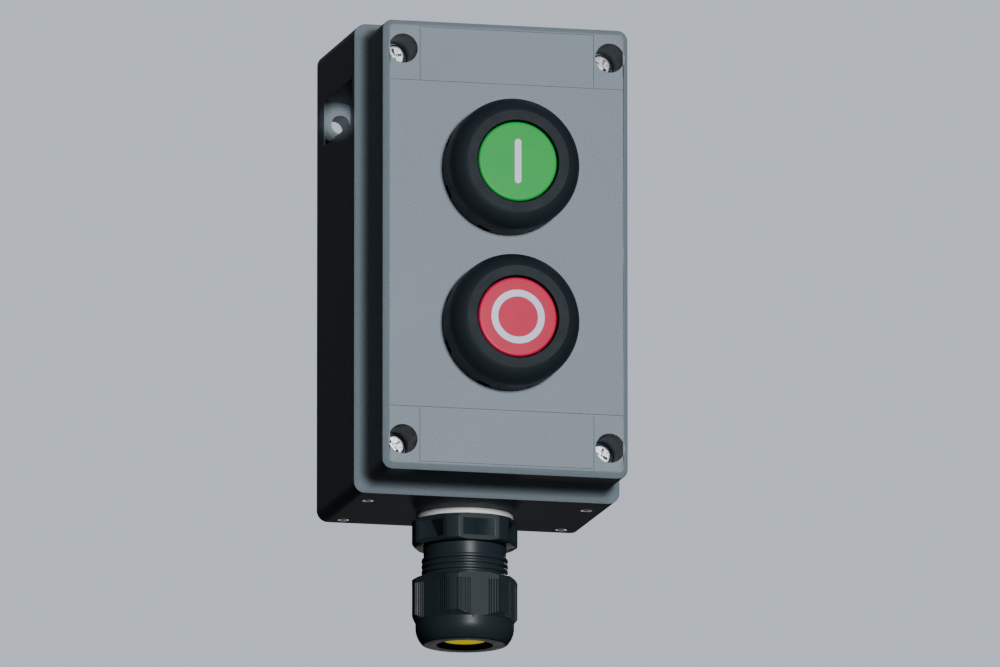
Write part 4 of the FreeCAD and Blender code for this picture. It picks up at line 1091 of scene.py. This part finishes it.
# %% [markdown]
# The body's flats each carry a pocket: two slopes that meet in a shallow V, which keeps the wall of
# the moulding even. Below the hexagon comes a smooth neck and then the thread.

# %% Gland body sizes
HEX_TOP, HEX_BOTTOM = -71.9, -79.7
POCKET_TOP, POCKET_BOTTOM, POCKET_HALF, POCKET_DEEP = -73.35, -78.35, 4.85, 3.5
POCKET_EDGE = 0.02
NECK_RADIUS, NECK_END, THREAD_RADIUS, THREAD_ROOT = 12.2, -83.2, 12.7, 12.1
GLAND_PITCH, GLAND_TURNS, CREST_SOFT = 1.7, 8, 0.12
CHAMFER_SLOPE, BODY_CHAMFER, CHAMFER_BAND, CHAMFER_LEVELS = 1.7, 14.9, 0.6, 4
GLAND_BORE, ENTRY_TOP, ENTRY_RADIUS, BODY_END, FINGER_RADIUS = 8.9, -61.0, 12.5, -103.4, 10.0
FINGER_TOP, ENTRY_ROUND = -98.4, 0.4


def body_rule(degrees, z):
    """The milled radius of the gland body."""
    chamfer = BODY_CHAMFER + CHAMFER_SLOPE * min(HEX_TOP - z, z - HEX_BOTTOM)
    radius = min(hexagon(degrees), chamfer)
    slope = POCKET_DEEP / POCKET_HALF
    angle = math.radians(abs(degrees))
    pocket_end = math.atan2(POCKET_HALF, FLAT_REACH)
    if POCKET_BOTTOM <= z <= POCKET_TOP and angle < pocket_end:
        radius = (FLAT_REACH - POCKET_DEEP) / (math.cos(angle) - slope * math.sin(angle))
    return radius


# One turn of the thread, as radius and distance down, from root over the rounded crest to root.
ONE_TURN = [(THREAD_ROOT, 0), (THREAD_RADIUS - CREST_SOFT, 0.12), (THREAD_RADIUS, 0.35),
            (THREAD_RADIUS, 0.95), (THREAD_RADIUS - CREST_SOFT, 1.18), (THREAD_ROOT, 1.3)]
gland_thread = [(radius, NECK_END - number * GLAND_PITCH - down)
                for number in range(GLAND_TURNS) for radius, down in ONE_TURN]
print(GLAND_TURNS, "turns of thread")

# %% Build the gland body
bar_levels = (levels(HEX_TOP, HEX_TOP - CHAMFER_BAND, CHAMFER_LEVELS)
              + [POCKET_TOP + POCKET_EDGE, POCKET_TOP, POCKET_BOTTOM, POCKET_BOTTOM - POCKET_EDGE]
              + levels(HEX_BOTTOM + CHAMFER_BAND, HEX_BOTTOM, CHAMFER_LEVELS))
bm = bmesh.new()
turn_piece(bm, [(GLAND_BORE, ENTRY_TOP), (ENTRY_RADIUS, ENTRY_TOP, ENTRY_ROUND), (ENTRY_RADIUS, HEX_TOP)]
           + [(BAR, z) for z in bar_levels] + [(NECK_RADIUS, HEX_BOTTOM)] + gland_thread
           + [(THREAD_ROOT, FINGER_TOP), (FINGER_RADIUS, BODY_END), (GLAND_BORE, BODY_END)], MILL_STEPS)
mill(bm, body_rule)
finish_piece(bm, "gland_body_milled", "housing", "gland_plastic", ["gland_body"], HANGING)

# %% [markdown]
# The dome nut has the same hexagon. Two groups of grip ribs run down each flat, its lower corners are
# chamfered to the round barrel, and the dome closes in to the mouth.

# %% Dome nut sizes
NUT_TOP, NUT_HEX_END, DOME_TOP, NUT_END = -89.4, -102.3, -103.8, -108.8
RIB_TOP, RIB_END, RIB_FROM, RIB_TO, RIB_PITCH, RIB_DEEP = -91.3, -101.9, 2.7, 6.9, 0.78, 0.4
DOME_TIP, MOUTH, LIP, LIP_BOTTOM, LIP_TOP = 12.3, 8.26, 6.6, -107.4, -106.6
NUT_BORE, NUT_BORE_END, CONE_END, SEAT_RADIUS = 12.75, -98.7, -103.7, 10.3
NUT_CHAMFER, FOOT_SLOPE, FOOT_BAND, FOOT_LEVELS = 14.95, 0.8, 1.6, 8
TIP_ROUND, MOUTH_ROUND, LIP_ROUND, DOME_STEPS = 0.6, 0.2, 0.15, 12


def nut_rule(degrees, z):
    """The milled radius of the dome nut."""
    top_chamfer = NUT_CHAMFER + CHAMFER_SLOPE * (NUT_TOP - z)
    bottom_chamfer = FLAT_REACH + FOOT_SLOPE * (z - NUT_HEX_END)
    radius = min(hexagon(degrees), top_chamfer, bottom_chamfer)
    along = abs(radius * math.sin(math.radians(degrees)))
    if RIB_END <= z <= RIB_TOP and RIB_FROM <= along <= RIB_TO:
        in_groove = (along - RIB_FROM) / RIB_PITCH % 1.0 < 0.5
        radius -= RIB_DEEP if in_groove else 0.0
    return radius


print("dome nut %.1f mm long" % (NUT_TOP - NUT_END))

# %% Build the dome nut
dome_in, dome_up = FLAT_REACH - DOME_TIP, DOME_TOP - NUT_END
dome_radius = (dome_in ** 2 + dome_up ** 2) / (2 * dome_in)
dome_end = -math.degrees(math.asin(dome_up / dome_radius))
dome = arc(FLAT_REACH - dome_radius, DOME_TOP, dome_radius, 0, dome_end, DOME_STEPS)[:-1]
nut_levels = sorted(levels(NUT_TOP, NUT_TOP - CHAMFER_BAND, CHAMFER_LEVELS)
                    + levels(NUT_HEX_END + FOOT_BAND, NUT_HEX_END, FOOT_LEVELS)
                    + [RIB_TOP + POCKET_EDGE, RIB_TOP, RIB_END, RIB_END - POCKET_EDGE], reverse=True)
bm = bmesh.new()
turn_piece(bm, [(NUT_BORE, NUT_TOP)] + [(BAR, z) for z in nut_levels] + dome
           + [(DOME_TIP, NUT_END, TIP_ROUND), (MOUTH, NUT_END, MOUTH_ROUND), (LIP, LIP_BOTTOM, LIP_ROUND),
              (LIP, LIP_TOP), (SEAT_RADIUS, LIP_TOP), (SEAT_RADIUS, CONE_END), (NUT_BORE, NUT_BORE_END)],
           MILL_STEPS)
mill(bm, nut_rule)
finish_piece(bm, "gland_nut_milled", "gland_nut", "gland_plastic", ["gland_dome_nut"], HANGING)

# %% [markdown]
# A white sealing washer shows above the body, squeezed so that its edge bulges a little, and a
# yellow dust plug closes the mouth until a cable goes in.

# %% Washer
WASHER_RADIUS, WASHER_BULGE = 14.25, 0.6

bm = bmesh.new()
turn_piece(bm, [(ENTRY_RADIUS, HEX_TOP), (WASHER_RADIUS, HEX_TOP, WASHER_BULGE),
                (WASHER_RADIUS, bottom, WASHER_BULGE), (ENTRY_RADIUS, bottom)])
finish_piece(bm, "gland_washer_turned", "housing", "white_seal", ["gland_washer"], HANGING)

# %% Dust plug
PLUG_DISH, PLUG_FACE, PLUG_SEAT, PLUG_BACK = -107.0, -107.4, -106.3, -104.8
DISH_RADIUS, RIM_RADIUS, PLUG_RADIUS, FLANGE_RADIUS = 4.5, 5.0, 6.3, 8.2
DISH_ROUND, RIM_ROUND, PLUG_ROUND, PLUG_STEPS = 0.3, 0.2, 0.25, 96

bm = bmesh.new()
turn_piece(bm, [(0, PLUG_DISH), (DISH_RADIUS, PLUG_DISH, DISH_ROUND), (RIM_RADIUS, PLUG_FACE, RIM_ROUND),
                (PLUG_RADIUS, PLUG_FACE, PLUG_ROUND), (PLUG_RADIUS, PLUG_SEAT), (FLANGE_RADIUS, PLUG_SEAT),
                (FLANGE_RADIUS, PLUG_BACK), (0, PLUG_BACK)], PLUG_STEPS)
finish_piece(bm, "dust_plug_turned", "housing", "yellow_plug", ["gland_dust_plug"], HANGING)

# %% [markdown]
# ## Springs and diaphragms
#
# Pressing a button shortens its return spring, the rubber diaphragm round it and the spring under
# its contact. Each is a merged copy of the CAD piece with a mesh of its own, and moves with the
# button or the contact it belongs to.

# %% Squashed pieces
MERGE_METRES = 1e-6


def pressed_copy(node, name, body):
    """A merged copy of a CAD piece with a mesh of its own, hung on the body it moves with."""
    bm = bmesh.new()
    bm.from_mesh(frame["nodes"][node].data)
    piece = finish_piece(bm, name, body, SLOT_OF[node], [node], Matrix.Identity(4), MERGE_METRES)
    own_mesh(piece)


for prefix in station_up:
    pressed_copy(prefix + "_return_spring", prefix + "_return_coil", "button_" + prefix)
    pressed_copy(prefix + "_diaphragm", prefix + "_diaphragm_rubber", "button_" + prefix)
    pressed_copy(prefix + "_contact_spring", prefix + "_contact_coil", "contact_" + prefix)
